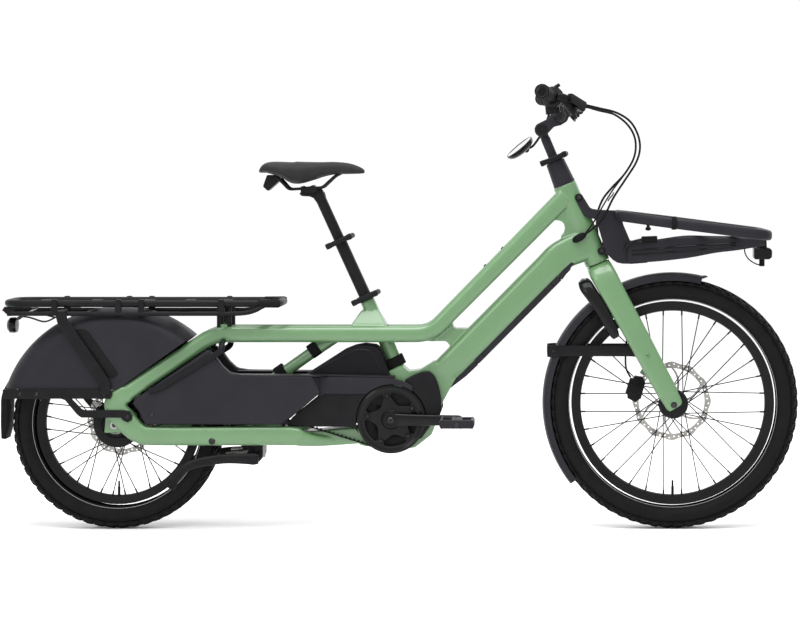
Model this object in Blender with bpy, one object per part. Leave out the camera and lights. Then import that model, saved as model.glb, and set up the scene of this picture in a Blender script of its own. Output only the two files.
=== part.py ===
"""Longtail electric cargo bicycle, modelled as its separate pieces.

Frame of reference: metres, +X towards the front wheel, +Y to the rider's left, +Z up.
The tyres stand on z = 0 and the drive side is at -Y. Every piece is one closed mesh.
"""
from math import cos, hypot, pi, radians, sin

import bmesh
import bpy
from mathutils import Matrix, Vector

# ---------------------------------------------------------------- driving dimensions
GAP = 0.0003                    # space kept between touching pieces
FRONT_RADIUS = 0.3185           # 65-507 tyre
REAR_RADIUS = 0.268             # 65-406 tyre
TYRE_HALF_WIDTH = 0.0325
FRONT_AXLE = Vector((0.6950, 0.0, FRONT_RADIUS))
REAR_AXLE = Vector((-0.7165, 0.0, REAR_RADIUS))
CRANK_AXIS = Vector((-0.0195, 0.0, 0.281))
CRANK_LENGTH = 0.170
HEAD_ANGLE = radians(22.8)      # steering axis, from vertical
HEAD_BASE = Vector((0.5044, 0.0, 0.6736))
HEAD_LENGTH = 0.2175
SEAT_ANGLE = radians(24.6)      # seat tube, from vertical
SEAT_BASE = Vector((-0.0080, 0.0, 0.4140))
SEAT_TUBE_LENGTH = 0.1980
RAIL_HEIGHT = 0.4951
RAIL_Y = 0.0380
RAIL_HALF_DEPTH = 0.0215
HEAD_TUBE_RADIUS = 0.0310
SEAT_BORE = 0.0159
SPINDLE_RADIUS = 0.0060
WHEEL_SIDES = 36                # facets round a tyre or a rim
STAY_Y = 0.0740                 # rear stays, centre
CHAINSTAY_HEIGHT = 0.2413
BELT_Y = -0.0470
BELT_HALF_WIDTH = 0.0050
FRONT_RING_RADIUS = 0.0785
REAR_RING_RADIUS = 0.0335
IDLER_RADIUS = 0.0130
IDLER_CENTRE = Vector((-0.2834, BELT_Y, 0.2645))
AXLE_RADIUS = 0.0060
STEERER_RADIUS = 0.0143
STEM_POST_RADIUS = 0.0122
RISER_LENGTH = 0.0640
STEM_PIVOT_HEIGHT = 0.3694      # above the head tube's lower end, along the steering axis
BAR_CLAMP = Vector((0.4080, 0.0, 1.0490))
BAR_HALF_WIDTH = 0.3300
GRIP_LENGTH = 0.1200
LOWER_POST_RADIUS = 0.0156
UPPER_POST_RADIUS = 0.0136
STAND_PIVOT = Vector((-0.3650, 0.0, 0.1840))
PANEL_Y = 0.0895                # outside of the rear wheel cover
BAR_Y = (0.0903, 0.0953)        # flat bars bolted over the stays
STRUT_Y = (0.0948, 0.1010)

Y_AXIS = Vector((0.0, 1.0, 0.0))
Z_AXIS = Vector((0.0, 0.0, 1.0))
STEER_UP = Vector((-sin(HEAD_ANGLE), 0.0, cos(HEAD_ANGLE)))
STEER_FORWARD = Vector((cos(HEAD_ANGLE), 0.0, sin(HEAD_ANGLE)))
SEAT_UP = Vector((-sin(SEAT_ANGLE), 0.0, cos(SEAT_ANGLE)))
SEAT_FORWARD = Vector((cos(SEAT_ANGLE), 0.0, sin(SEAT_ANGLE)))

PAINTS = {
    "green_paint": ((0.200, 0.376, 0.165), 0.28, 0.0),
    "black_metal": ((0.018, 0.018, 0.020), 0.42, 0.6),
    "black_plastic": ((0.028, 0.027, 0.031), 0.50, 0.0),
    "black_rubber": ((0.014, 0.014, 0.015), 0.80, 0.0),
    "tyre_rubber": ((0.012, 0.012, 0.013), 0.85, 0.0),
    "steel": ((0.550, 0.540, 0.520), 0.30, 1.0),
    "saddle_skin": ((0.016, 0.016, 0.018), 0.60, 0.0),
    "bag_fabric": ((0.012, 0.012, 0.014), 0.75, 0.0),
    "red_lens": ((0.450, 0.010, 0.012), 0.20, 0.0),
}


# ---------------------------------------------------------------- scene and mesh helpers
def clear_scene():
    for item in list(bpy.data.objects):
        bpy.data.objects.remove(item, do_unlink=True)


def paint(name):
    """The shared Principled material of that name."""
    existing = bpy.data.materials.get(name)
    if existing:
        return existing
    colour, roughness, metallic = PAINTS[name]
    material = bpy.data.materials.new(name)
    material.use_nodes = True
    shader = material.node_tree.nodes["Principled BSDF"]
    shader.inputs["Base Color"].default_value = (*colour, 1.0)
    shader.inputs["Roughness"].default_value = roughness
    shader.inputs["Metallic"].default_value = metallic
    return material


def make(name, bm, material, origin=(0.0, 0.0, 0.0)):
    """Turn a bmesh in world space into an object whose origin is at the given point."""
    bmesh.ops.remove_doubles(bm, verts=bm.verts, dist=1e-6)
    bmesh.ops.recalc_face_normals(bm, faces=bm.faces)
    mesh = bpy.data.meshes.new(name)
    bm.to_mesh(mesh)
    bm.free()
    mesh.transform(Matrix.Translation(-Vector(origin)))
    mesh.shade_smooth()
    mesh.set_sharp_from_angle(angle=radians(35))
    item = bpy.data.objects.new(name, mesh)
    item.location = origin
    bpy.context.collection.objects.link(item)
    if material:
        mesh.materials.append(paint(material))
    return item


def boolean(target, tools, operation):
    """Apply a union or difference with each tool, and remove the tools."""
    for tool in tools:
        step = target.modifiers.new("boolean", "BOOLEAN")
        step.operation = operation
        step.object = tool
        bpy.context.view_layer.update()
        graph = bpy.context.evaluated_depsgraph_get()
        result = bpy.data.meshes.new_from_object(target.evaluated_get(graph))
        target.modifiers.remove(step)
        target.data = result
        bpy.data.objects.remove(tool, do_unlink=True)
    return target


def union(target, *tools):
    return boolean(target, tools, "UNION")


def cut(target, *tools):
    return boolean(target, tools, "DIFFERENCE")


def mirrored(item, name):
    """A copy of a piece on the other side of the centre plane."""
    mesh = item.data.copy()
    mesh.transform(item.matrix_basis)
    mesh.transform(Matrix.Scale(-1.0, 4, Y_AXIS))
    mesh.flip_normals()
    place = Vector((item.location.x, -item.location.y, item.location.z))
    mesh.transform(Matrix.Translation(-place))
    mesh.name = name
    twin = bpy.data.objects.new(name, mesh)
    twin.location = place
    bpy.context.collection.objects.link(twin)
    return twin


def ride_on(pivot_name, location, pieces):
    """Parent the pieces of one moving body to an empty at the given point of its joint's axis."""
    pivot = bpy.data.objects.new(pivot_name, None)
    pivot.empty_display_size = 0.03
    pivot.location = location
    bpy.context.collection.objects.link(pivot)
    for piece in pieces:
        piece.parent = pivot
        piece.location = piece.location - Vector(location)


# ---------------------------------------------------------------- solid builders
def oval(bm, centre, side, up, half_side, half_up, count, power):
    """A closed ring of vertices on a superellipse; power 2 is an ellipse."""
    verts = []
    for step in range(count):
        angle = 2 * pi * (step + 0.5) / count
        across, rise = cos(angle), sin(angle)
        stretch = (abs(across) ** power + abs(rise) ** power) ** (-1.0 / power)
        point = centre + side * (half_side * across * stretch) + up * (half_up * rise * stretch)
        verts.append(bm.verts.new(point))
    return verts


def skin_rings(bm, rings, closed=False):
    """Quads between neighbouring rings, with end caps unless the row is closed."""
    count = len(rings[0])
    pairs = list(zip(rings, rings[1:]))
    if closed:
        pairs.append((rings[-1], rings[0]))
    for low, high in pairs:
        for step in range(count):
            after = (step + 1) % count
            bm.faces.new((low[step], low[after], high[after], high[step]))
    if not closed:
        bm.faces.new(rings[0])
        bm.faces.new(reversed(rings[-1]))


def loft(stations, side=Y_AXIS, count=12, power=2.0, closed=False):
    """Solid along a path. Each station is (point, half size along side, half size across)."""
    bm = bmesh.new()
    points = [Vector(station[0]) for station in stations]
    rings = []
    last = len(points) - 1
    for step, (_, half_side, half_up) in enumerate(stations):
        before = points[step - 1] if closed or step else points[step]
        after = points[(step + 1) % (last + 1)] if closed or step < last else points[step]
        along = (after - before).normalized()
        across = (side - along * side.dot(along)).normalized()
        rings.append(oval(bm, points[step], across, along.cross(across),
                          half_side, half_up, count, power))
    skin_rings(bm, rings, closed)
    return bm


def rod(points, radius, side=Y_AXIS, count=10):
    """Round bar of constant radius along a path."""
    return loft([(point, radius, radius) for point in points], side, count)


def rounded_path(corners, radius, steps=3):
    """The corner points of a path, with each inner corner replaced by a short arc."""
    corners = [Vector(corner) for corner in corners]
    points = [corners[0]]
    for before, corner, after in zip(corners, corners[1:], corners[2:]):
        back = (before - corner).normalized()
        ahead = (after - corner).normalized()
        start, end = corner + back * radius, corner + ahead * radius
        for step in range(steps + 1):
            t = step / steps
            points.append(start * (1 - t) ** 2 + corner * (2 * t * (1 - t)) + end * t ** 2)
    points.append(corners[-1])
    return points


def spun(profile, centre, axis=Y_AXIS, start=-Z_AXIS, count=WHEEL_SIDES, sweep=2 * pi):
    """Solid of revolution. The profile is a closed loop of (radius, distance along the axis)."""
    bm = bmesh.new()
    other = axis.cross(start)
    full = abs(sweep - 2 * pi) < 1e-6
    stops = count if full else count + 1
    rings = []
    for step in range(stops):
        angle = sweep * step / count
        out = start * cos(angle) + other * sin(angle)
        rings.append([bm.verts.new(centre + out * radius + axis * along)
                      for radius, along in profile])
    skin_rings(bm, rings, closed=full)
    if any(radius == 0 for radius, _ in profile):
        bmesh.ops.remove_doubles(bm, verts=bm.verts, dist=1e-7)
        bmesh.ops.dissolve_degenerate(bm, edges=bm.edges, dist=1e-7)
        flat = [face for face in bm.faces if face.calc_area() < 1e-12]
        bmesh.ops.delete(bm, geom=flat, context="FACES_ONLY")
        loose = [edge for edge in bm.edges if not edge.link_faces]
        bmesh.ops.delete(bm, geom=loose, context="EDGES")
    return bm


def cylinder(centre, axis, radius, low, high, count=24):
    """Round bar along an axis between two distances from the centre."""
    bm = bmesh.new()
    side = axis.orthogonal().normalized() if abs(axis.y) < 0.9 else Vector((1.0, 0.0, 0.0))
    up = axis.cross(side)
    rings = [oval(bm, centre + axis * along, side, up, radius, radius, count, 2.0)
             for along in (low, high)]
    skin_rings(bm, rings)
    return bm


def slab(outline, low, high):
    """An outline in the X-Z plane, extruded along Y."""
    bm = bmesh.new()
    rings = [[bm.verts.new((x, y, z)) for x, z in outline] for y in (low, high)]
    skin_rings(bm, rings)
    return bm


def box(low, high):
    outline = [(low[0], low[2]), (high[0], low[2]), (high[0], high[2]), (low[0], high[2])]
    return slab(outline, low[1], high[1])


def inset_outline(outline, distance):
    """The outline moved inwards by a distance, corner by corner."""
    area = sum(a[0] * b[1] - b[0] * a[1] for a, b in zip(outline, outline[1:] + outline[:1]))
    turn = 1.0 if area > 0 else -1.0
    moved = []
    for step, (x, z) in enumerate(outline):
        here = Vector((x, z))
        before = (here - Vector(outline[step - 1])).normalized()
        after = (Vector(outline[(step + 1) % len(outline)]) - here).normalized()
        inward = Vector((-before.y - after.y, before.x + after.x)) * turn
        shift = inward.normalized()
        spread = max(0.35, shift.dot(Vector((-before.y, before.x)) * turn))
        moved.append(tuple(here + shift * (distance / spread)))
    return moved


def tray(outline, rim, face, wall):
    """A shell pressed to an outline, open on the side of its rim."""
    bm = bmesh.new()
    inner = inset_outline(outline, wall)
    floor = face + wall if rim > face else face - wall
    layers = [(outline, face), (outline, rim), (inner, rim), (inner, floor)]
    rings = [[bm.verts.new((x, y, z)) for x, z in shape] for shape, y in layers]
    skin_rings(bm, rings)
    return bm


def arc(centre, radius, start, end, steps):
    """Points of an arc in the X-Z plane, angles in degrees from +X towards +Z."""
    points = []
    for step in range(steps + 1):
        angle = radians(start + (end - start) * step / steps)
        points.append((centre[0] + radius * cos(angle), centre[1] + radius * sin(angle)))
    return points


def steer(height, forward=0.0, left=0.0):
    """A point given by its distances along and ahead of the steering axis."""
    return HEAD_BASE + STEER_UP * height + STEER_FORWARD * forward + Y_AXIS * left


def seat(height, forward=0.0, left=0.0):
    """A point given by its distances along and ahead of the seat tube."""
    return SEAT_BASE + SEAT_UP * height + SEAT_FORWARD * forward + Y_AXIS * left


# ---------------------------------------------------------------- welded frame
DOWN_TUBE_TOP = Vector((0.4366, 0.0, 0.7231))
DOWN_TUBE_END = Vector((0.1150, 0.0, 0.3980))
DOWN_TUBE_DEPTH = 0.0365        # half of the tube's depth
DOWN_TUBE_WIDTH = 0.0420        # half of the tube's width
BATTERY_START = 0.075           # distance of the battery bay from the motor end
BATTERY_LENGTH = 0.3000
BAY_HALF_WIDTH = 0.0355
BAY_DEPTH = 0.0610
BATTERY_BELLY = 0.0120          # how far the battery stands below the tube


def make_head_tube():
    bore = 0.0245
    profile = [(bore, 0.0), (0.0300, 0.0), (HEAD_TUBE_RADIUS, 0.010), (0.0290, 0.040),
               (0.0290, 0.170), (0.0300, HEAD_LENGTH), (bore, HEAD_LENGTH)]
    bm = spun(profile, HEAD_BASE, STEER_UP, STEER_FORWARD, 24)
    return make("head_tube", bm, "green_paint", HEAD_BASE)


def head_cutter():
    """The space that the tubes leave for the head tube."""
    return make("cutter", cylinder(HEAD_BASE, STEER_UP, HEAD_TUBE_RADIUS + 0.0005, -0.05, 0.30), None)


def make_down_tube():
    along = (DOWN_TUBE_TOP - DOWN_TUBE_END).normalized()
    down = Vector((along.z, 0.0, -along.x))
    start = DOWN_TUBE_END + along * GAP
    joint = DOWN_TUBE_END + along * 0.36
    into_head = HEAD_BASE + STEER_UP * 0.055 - STEER_FORWARD * 0.015
    stations = [(start, DOWN_TUBE_WIDTH * 0.86, DOWN_TUBE_DEPTH),
                (DOWN_TUBE_END + along * 0.05, DOWN_TUBE_WIDTH, DOWN_TUBE_DEPTH),
                (joint, DOWN_TUBE_WIDTH, DOWN_TUBE_DEPTH),
                (DOWN_TUBE_TOP - along * 0.03 + down * 0.004, 0.036, DOWN_TUBE_DEPTH),
                (into_head, 0.028, DOWN_TUBE_DEPTH)]
    tube = make("down_tube", loft(stations, count=16, power=3.6), "green_paint", DOWN_TUBE_END)
    far_end = BATTERY_START + BATTERY_LENGTH
    roof, below = DOWN_TUBE_DEPTH - BAY_DEPTH, DOWN_TUBE_DEPTH + 0.03
    bay = [DOWN_TUBE_END + along * reach + down * depth for reach, depth in
           ((BATTERY_START, roof), (far_end, roof), (far_end, below), (BATTERY_START, below))]
    bay_room = slab([(p.x, p.z) for p in bay], -BAY_HALF_WIDTH, BAY_HALF_WIDTH)
    return cut(tube, head_cutter(), make("cutter", bay_room, None))


def make_battery():
    along = (DOWN_TUBE_TOP - DOWN_TUBE_END).normalized()
    down = Vector((along.z, 0.0, -along.x))
    clear = 2 * GAP
    half_depth = (BAY_DEPTH + BATTERY_BELLY) / 2 - clear
    centre_drop = DOWN_TUBE_DEPTH + BATTERY_BELLY - half_depth
    ends = [DOWN_TUBE_END + along * (BATTERY_START + inset) + down * centre_drop
            for inset in (clear, BATTERY_LENGTH - clear)]
    width = BAY_HALF_WIDTH - clear
    slope = 0.012               # length and height of the chamfer at each end
    stations = [(ends[0], width, half_depth - slope),
                (ends[0] + along * slope, width, half_depth),
                (ends[1] - along * slope, width, half_depth),
                (ends[1], width, half_depth - slope)]
    return make("battery", loft(stations, count=16, power=6.0), "black_plastic", ends[0])


def make_side_tube():
    """Right top tube, rail and seat stay, bent from one length."""
    head = steer(0.189, -0.020)
    corners = [(head.x, -0.0176, head.z), (0.0775, -RAIL_Y, RAIL_HEIGHT),
               (-0.470, -RAIL_Y, RAIL_HEIGHT), (-0.6860, -STAY_Y, 0.3484)]
    stations = []
    for point in rounded_path(corners, 0.055, 4):
        near_head = max(0.0, min(1.0, (point.x - 0.12) / 0.27))
        to_stay = max(0.0, min(1.0, (-0.50 - point.x) / 0.15))
        half_side = 0.0175 - 0.0010 * near_head - 0.0015 * to_stay
        half_up = RAIL_HALF_DEPTH + 0.0020 * near_head + 0.0005 * to_stay
        stations.append((point, half_side, half_up))
    tube = make("right_side_tube", loft(stations, count=12, power=2.6), "green_paint",
                (-0.470, -RAIL_Y, RAIL_HEIGHT))
    return cut(tube, head_cutter())


def make_seat_tube():
    """Hollow seat tube: flared foot on both rails, clamp collar at the top."""
    collar = SEAT_TUBE_LENGTH - 0.0160
    wall, collar_radius = 0.0180, 0.0230
    shell = [(SEAT_BORE, 0.030), (SEAT_BORE, SEAT_TUBE_LENGTH), (collar_radius, SEAT_TUBE_LENGTH),
             (collar_radius, collar), (wall, collar), (wall, GAP), (0.0, GAP), (0.0, 0.030)]
    tube = make("seat_tube", spun(shell, SEAT_BASE, SEAT_UP, Y_AXIS, 20), "green_paint", SEAT_BASE)
    top = RAIL_HEIGHT + RAIL_HALF_DEPTH + 2 * GAP
    foot = [(-0.1230, top), (-0.0220, top), (-0.0280, top + 0.006), (-0.0660, top + 0.022),
            (-0.0960, top + 0.022), (-0.1180, top + 0.006)]
    flare = make("flare", slab(foot, -0.0360, 0.0360), None)
    bore = make("bore", cylinder(SEAT_BASE, SEAT_UP, SEAT_BORE, 0.030, 0.30, 20), None)
    return cut(union(tube, flare), bore)


BRACKET_REAR = -0.0970
BRACKET_OUTLINE = [(-0.0244, 0.4065), (0.0084, 0.4215), (0.0204, 0.4010), (0.0480, 0.4050),
                   (0.0890, 0.4237), (0.1410, 0.3723), (0.1260, 0.3560), (0.1080, 0.3180),
                   (0.1000, 0.2850), (0.0820, 0.2400), (0.0400, 0.2070), (-0.0200, 0.1990),
                   (-0.0700, 0.2080), (BRACKET_REAR, 0.2150), (BRACKET_REAR, 0.2580),
                   (-0.0780, 0.3000), (-0.0300, 0.3300), (-0.0120, 0.3720)]
MOTOR_OUTLINE = [(0.0100, 0.3700), (0.0700, 0.3790), (0.0850, 0.3480), (0.0880, 0.3100),
                 (0.0820, 0.2660), (0.0560, 0.2330), (0.0100, 0.2140), (-0.0400, 0.2140),
                 (-0.0720, 0.2270), (-0.0790, 0.2560), (-0.0600, 0.2930), (-0.0140, 0.3180)]
MOTOR_CLEARANCE = 0.0012


def make_motor_bracket():
    """The cast yoke that closes round the motor and takes the tubes."""
    yoke = make("motor_bracket", slab(BRACKET_OUTLINE, -0.0350, 0.0350), "green_paint", CRANK_AXIS)
    motor_room = inset_outline(MOTOR_OUTLINE, -MOTOR_CLEARANCE)
    return cut(yoke, make("cutter", slab(motor_room, -0.06, 0.06), None))


def make_motor_unit():
    """Mid drive unit, bored for the crank spindle."""
    motor = make("motor_unit", slab(MOTOR_OUTLINE, -0.0385, 0.0460), "black_metal", CRANK_AXIS)
    bore = make("cutter", cylinder(CRANK_AXIS, Y_AXIS, 0.0125, -0.08, 0.08), None)
    return cut(union(motor, make_motor_cover()), bore)


def make_motor_cover():
    """Plastic nose cover ahead of the chainring."""
    centre = (CRANK_AXIS.x, CRANK_AXIS.z)
    hollow = arc(centre, 0.0890, 62, 6, 6)
    outer = [(0.1040, 0.2900), (0.1090, 0.3150), (0.1030, 0.3550), (0.0900, 0.3900),
             (0.0740, 0.4020), (0.0480, 0.3980), (0.0200, 0.3800)]
    return make("cover", slab(hollow + outer, -0.0560, -0.0355), None)


def make_chainstay():
    """Right chainstay: elbow at the dropout, straight run, and a waist under the belt."""
    elbow = [(-0.6895, -STAY_Y, 0.3458), (-0.7060, -STAY_Y, 0.3340),
             (-0.6480, -STAY_Y, CHAINSTAY_HEIGHT), (-0.5800, -STAY_Y, CHAINSTAY_HEIGHT)]
    stations = [(point, 0.0158, 0.0225) for point in rounded_path(elbow, 0.016, 2)]
    stations += [((-0.2700, -STAY_Y, CHAINSTAY_HEIGHT), 0.0158, 0.0235),
                 ((-0.2480, -0.0675, 0.2350), 0.0155, 0.0190),
                 ((-0.2150, -0.0480, 0.2270), 0.0145, 0.0130),
                 ((-0.1750, -0.0270, 0.2250), 0.0130, 0.0135),
                 ((-0.0900, -0.0200, 0.2365), 0.0130, 0.0195)]
    stay = make("right_chainstay", loft(stations, count=12, power=2.8), "green_paint",
                (REAR_AXLE.x, -STAY_Y, REAR_AXLE.z))
    plate = [(-0.7400, 0.2480), (-0.6500, 0.2480), (-0.6640, 0.2900), (-0.6950, 0.3180),
             (-0.7330, 0.3120)]
    dropout = make("dropout", slab(plate, -0.0700, -0.0610), None)
    hole = make("hole", cylinder(REAR_AXLE, Y_AXIS, AXLE_RADIUS + GAP, -0.10, -0.05, 16), None)
    yoke_side = make("cutter", box((BRACKET_REAR - GAP, -0.2, 0.0), (0.1, 0.2, 0.4)), None)
    return cut(union(stay, dropout), hole, yoke_side)


def make_centre_strut():
    """Strut from the rails down to the bridge of the chainstays, with the stand's bracket."""
    stations = [((-0.1500, 0, 0.4940), 0.0202, 0.0130), ((-0.1950, 0, 0.4650), 0.0202, 0.0140),
                ((-0.2300, 0, 0.4280), 0.0150, 0.0150), ((-0.3750, 0, 0.3330), 0.0150, 0.0150),
                ((-0.3960, 0, 0.3080), 0.0150, 0.0145), ((-0.3980, 0, 0.2440), 0.0150, 0.0130)]
    strut = make("centre_strut", loft(stations, count=12, power=2.6), "green_paint", STAND_PIVOT)
    bridge = cylinder(Vector((-0.3980, 0, 0.2413)), Y_AXIS, 0.0140, -0.0575, 0.0575, 16)
    outline = [(-0.4050, 0.2400), (-0.3850, 0.1900), (-0.3760, 0.1720), (-0.3540, 0.1720),
               (-0.3460, 0.1900), (-0.3460, 0.2100), (-0.3900, 0.2440)]
    bracket = slab(outline, -0.0480, 0.0480)
    union(strut, make("bridge", bridge, None), make("bracket", bracket, None))
    bore = make("bore", cylinder(STAND_PIVOT, Y_AXIS, 0.0085, -0.12, 0.12, 16), None)
    return cut(strut, bore)


# ---------------------------------------------------------------- covers and carriers
def make_skirt():
    """Right side skirt with a foot ledge; the front half steps inwards for the crank."""
    rear = [(-0.6360, 0.2710), (-0.6300, 0.3300), (-0.5800, 0.3660), (-0.4900, 0.4340),
            (-0.4640, 0.4480), (-0.4480, 0.4250), (-0.4330, 0.4040), (-0.4150, 0.3960),
            (-0.2100, 0.3930), (-0.1950, 0.3500), (-0.2700, 0.2880), (-0.2950, 0.2710)]
    skirt = make("right_skirt", tray(rear, -0.0600, -0.0915, 0.003), "black_plastic",
                 (-0.45, -0.075, 0.33))
    centre = (CRANK_AXIS.x, CRANK_AXIS.z)
    front = [(-0.2140, 0.3925), (-0.2140, 0.3400), (-0.1400, 0.3400)]
    front += arc(centre, 0.0975, 142, 52, 8)
    front += [(0.0300, 0.3740), (0.0050, 0.3850), (-0.0200, 0.3900)]
    step = make("step", slab(front, -0.0640, -0.0610), None)
    return union(skirt, step)


def make_wheel_cover():
    """Domed shell over the rear wheel, ending at the bars and seat stays, with its mudflap."""
    outer = 0.2950
    wall = 0.0030
    half = [(0.0600, PANEL_Y), (0.2450, PANEL_Y), (0.2690, 0.0840), (0.2865, 0.0660),
            (outer, 0.0400)]
    inner = [(outer - wall, 0.0390), (0.2840, 0.0640), (0.2670, 0.0812), (0.2445, PANEL_Y - wall),
             (0.0600, PANEL_Y - wall)]
    profile = half + [(radius, -along) for radius, along in reversed(half)]
    profile += [(radius, -along) for radius, along in reversed(inner)] + inner
    shell = make("rear_wheel_cover", spun(profile, REAR_AXLE, count=44), "black_plastic",
                 REAR_AXLE)
    below = make("cutter", box((-1.2, -0.2, -0.1), (0.0, 0.2, 0.3610)), None)
    stay_edge = [(-0.7470, 0.2000), (-0.7470, 0.3520), (-0.4300, 0.5660), (-0.1000, 0.5660),
                 (-0.1000, 0.2000)]
    ahead = make("cutter", slab(stay_edge, -0.2, 0.2), None)
    flap_outline = [(-0.9800, 0.4000), (-1.0135, 0.3250), (-1.0135, 0.2280), (-1.0105, 0.2280),
                    (-1.0105, 0.3250), (-0.9740, 0.4000)]
    flap = make("flap", slab(flap_outline, -0.0360, 0.0360), None)
    return union(cut(shell, below, ahead), flap)


def make_rack_strut():
    """Right rack strut and the flat bar it stands on, stepped down to the dropout."""
    outline = [(-0.9922, 0.3595), (-0.9922, 0.3370), (-0.8450, 0.3370), (-0.8000, 0.2890),
               (-0.6970, 0.2890), (-0.6830, 0.2760), (-0.6680, 0.2860), (-0.6700, 0.3040),
               (-0.6860, 0.3070), (-0.7890, 0.3070), (-0.8180, 0.3370), (-0.7210, 0.3370),
               (-0.7210, 0.3595)]
    bar = make("right_rack_strut", slab(outline, -BAR_Y[1], -BAR_Y[0]), "black_metal",
               (-0.80, -BAR_Y[0], 0.348))
    strut = [(-0.8620, 0.5560), (-0.8330, 0.5560), (-0.7160, 0.3830), (-0.7160, 0.3450),
               (-0.7480, 0.3420), (-0.7560, 0.3620)]
    return union(bar, make("strut", slab(strut, -STRUT_Y[1], -STRUT_Y[0]), None))


RACK_HEIGHT = 0.5750
RACK_HALF_WIDTH = 0.0800
RACK_REAR = -0.9990
RACK_FRONT = -0.2910
LOWER_RAIL_HEIGHT = 0.5500
LOWER_RAIL_Y = 0.0885


def make_rear_rack():
    """Deck tube bent to a long loop, two lower rails, slats and the front posts."""
    wide = RACK_HALF_WIDTH
    tube = 0.0090               # radius of the deck tube
    loop = rounded_path([(-0.60, -wide, RACK_HEIGHT), (RACK_REAR + tube, -wide, RACK_HEIGHT),
                         (RACK_REAR + tube, wide, RACK_HEIGHT),
                         (RACK_FRONT - tube, wide, RACK_HEIGHT),
                         (RACK_FRONT - tube, -wide, RACK_HEIGHT), (-0.60, -wide, RACK_HEIGHT)],
                        0.045, 3)
    rack = make("rear_rack", loft([(p, tube, tube) for p in loop[:-1]], Z_AXIS, 8, 2.0, True),
                "black_metal", (-0.65, 0, RACK_HEIGHT))
    pieces = []
    for place in (-0.9100, -0.7800, -0.6460, -0.5400, -0.4450, -0.3500):
        pieces.append(make("slat", box((place - 0.013, -wide, RACK_HEIGHT - 0.004),
                                       (place + 0.013, wide, RACK_HEIGHT + 0.0035)), None))
    for place in (-0.8649, -0.4450):
        middle = Vector((place, 0.0, LOWER_RAIL_HEIGHT))
        cross = cylinder(middle, Y_AXIS, 0.0050, -LOWER_RAIL_Y, LOWER_RAIL_Y, 8)
        pieces.append(make("cross", cross, None))
    for place in (-0.8649, -0.7040, -0.6460, -0.4450):
        for left in (-1, 1):
            clip = box((place - 0.006, left * wide - 0.007, LOWER_RAIL_HEIGHT),
                       (place + 0.006, left * wide + 0.007, RACK_HEIGHT))
            pieces.append(make("clip", clip, None))
    for left in (-1, 1):
        side = left * LOWER_RAIL_Y
        path = rounded_path([(-0.9790, side, LOWER_RAIL_HEIGHT), (-0.3900, side, LOWER_RAIL_HEIGHT),
                             (-0.3390, left * wide, RACK_HEIGHT - 0.003)], 0.03)
        pieces.append(make("rail", rod(path, 0.0058, count=8), None))
        post = cylinder(Vector((-0.4450, left * RAIL_Y, 0)), Z_AXIS, 0.0070,
                        RAIL_HEIGHT + RAIL_HALF_DEPTH + 2 * GAP, RACK_HEIGHT, 10)
        pieces.append(make("post", post, None))
    return union(rack, *pieces)


def make_rear_light():
    outline = [(-0.9960, 0.5640), (-0.9900, 0.5560), (-0.9450, 0.5560), (-0.9200, 0.5650)]
    return make("rear_light", slab(outline, -0.0450, 0.0450), "red_lens", (-0.99, 0, 0.56))


def make_storage_bag():
    outline = [(-0.2620, 0.3720), (-0.2474, 0.3840), (-0.1650, 0.4380), (-0.1330, 0.4600),
               (-0.1100, 0.4690), (-0.0800, 0.4690), (-0.0610, 0.4570), (-0.0250, 0.3850),
               (-0.0310, 0.3720)]
    return make("storage_bag", slab(outline, -0.0520, 0.0520), "bag_fabric", (-0.13, 0, 0.41))


FRONT_RACK_REAR = 0.5560
FRONT_RACK_FRONT = 0.9330
FRONT_RACK_HALF_WIDTH = 0.1650


def front_rack_height(x):
    """Height of the platform rails, which fall towards the front."""
    return 0.7960 - (x - FRONT_RACK_REAR) * 0.115


def make_front_rack():
    """Carrier bolted to the head tube: plate, platform loop, slats, lower beam."""
    face = HEAD_TUBE_RADIUS + 0.0015
    near = [steer(0.020, face), steer(0.165, face)]
    plate = [(near[0].x, near[0].z), (0.5640, 0.7055), (0.5880, 0.6900), (0.6040, 0.6900),
             (0.5980, 0.7150), (0.5650, 0.7830), (0.5600, 0.8080), (0.5120, 0.8080),
             (near[1].x, near[1].z)]
    rack = make("front_rack", slab(plate, -0.0240, 0.0240), "black_metal", (0.56, 0, 0.74))
    wide = FRONT_RACK_HALF_WIDTH
    rear, ahead = FRONT_RACK_REAR, FRONT_RACK_FRONT
    corners = [(rear, 0, front_rack_height(rear)), (rear, -0.09, front_rack_height(rear)),
               (rear + 0.12, -wide, front_rack_height(rear + 0.12)),
               (ahead, -wide, front_rack_height(ahead)), (ahead, wide, front_rack_height(ahead)),
               (rear + 0.12, wide, front_rack_height(rear + 0.12)),
               (rear, 0.09, front_rack_height(rear)), (rear, 0, front_rack_height(rear))]
    loop = rounded_path(corners, 0.04, 2)[:-1]
    pieces = [make("loop", loft([(p, 0.0120, 0.0075) for p in loop], Z_AXIS, 8, 3.0, True), None)]
    for place in (0.6750, 0.7600, 0.8450):
        height = front_rack_height(place)
        pieces.append(make("slat", box((place - 0.012, -wide, height - 0.0060),
                                       (place + 0.012, wide, height + 0.0010)), None))
    beam = [((0.5980, 0, 0.6960), 0.0200, 0.0100), ((0.7000, 0, 0.7010), 0.0200, 0.0110),
            ((0.8600, 0, 0.7180), 0.0200, 0.0090), ((0.9200, 0, 0.7280), 0.0200, 0.0080),
            ((0.9330, 0, 0.7450), 0.0200, 0.0080)]
    pieces.append(make("beam", loft(beam, count=8, power=3.0), None))
    return union(rack, *pieces)


def make_front_light():
    body = [(0.9010, 0.6870), (0.9420, 0.6870), (0.9480, 0.6930), (0.9460, 0.7120),
            (0.9010, 0.7120)]
    return make("front_light", slab(body, -0.0240, 0.0240), "black_plastic", (0.93, 0, 0.70))


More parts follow.
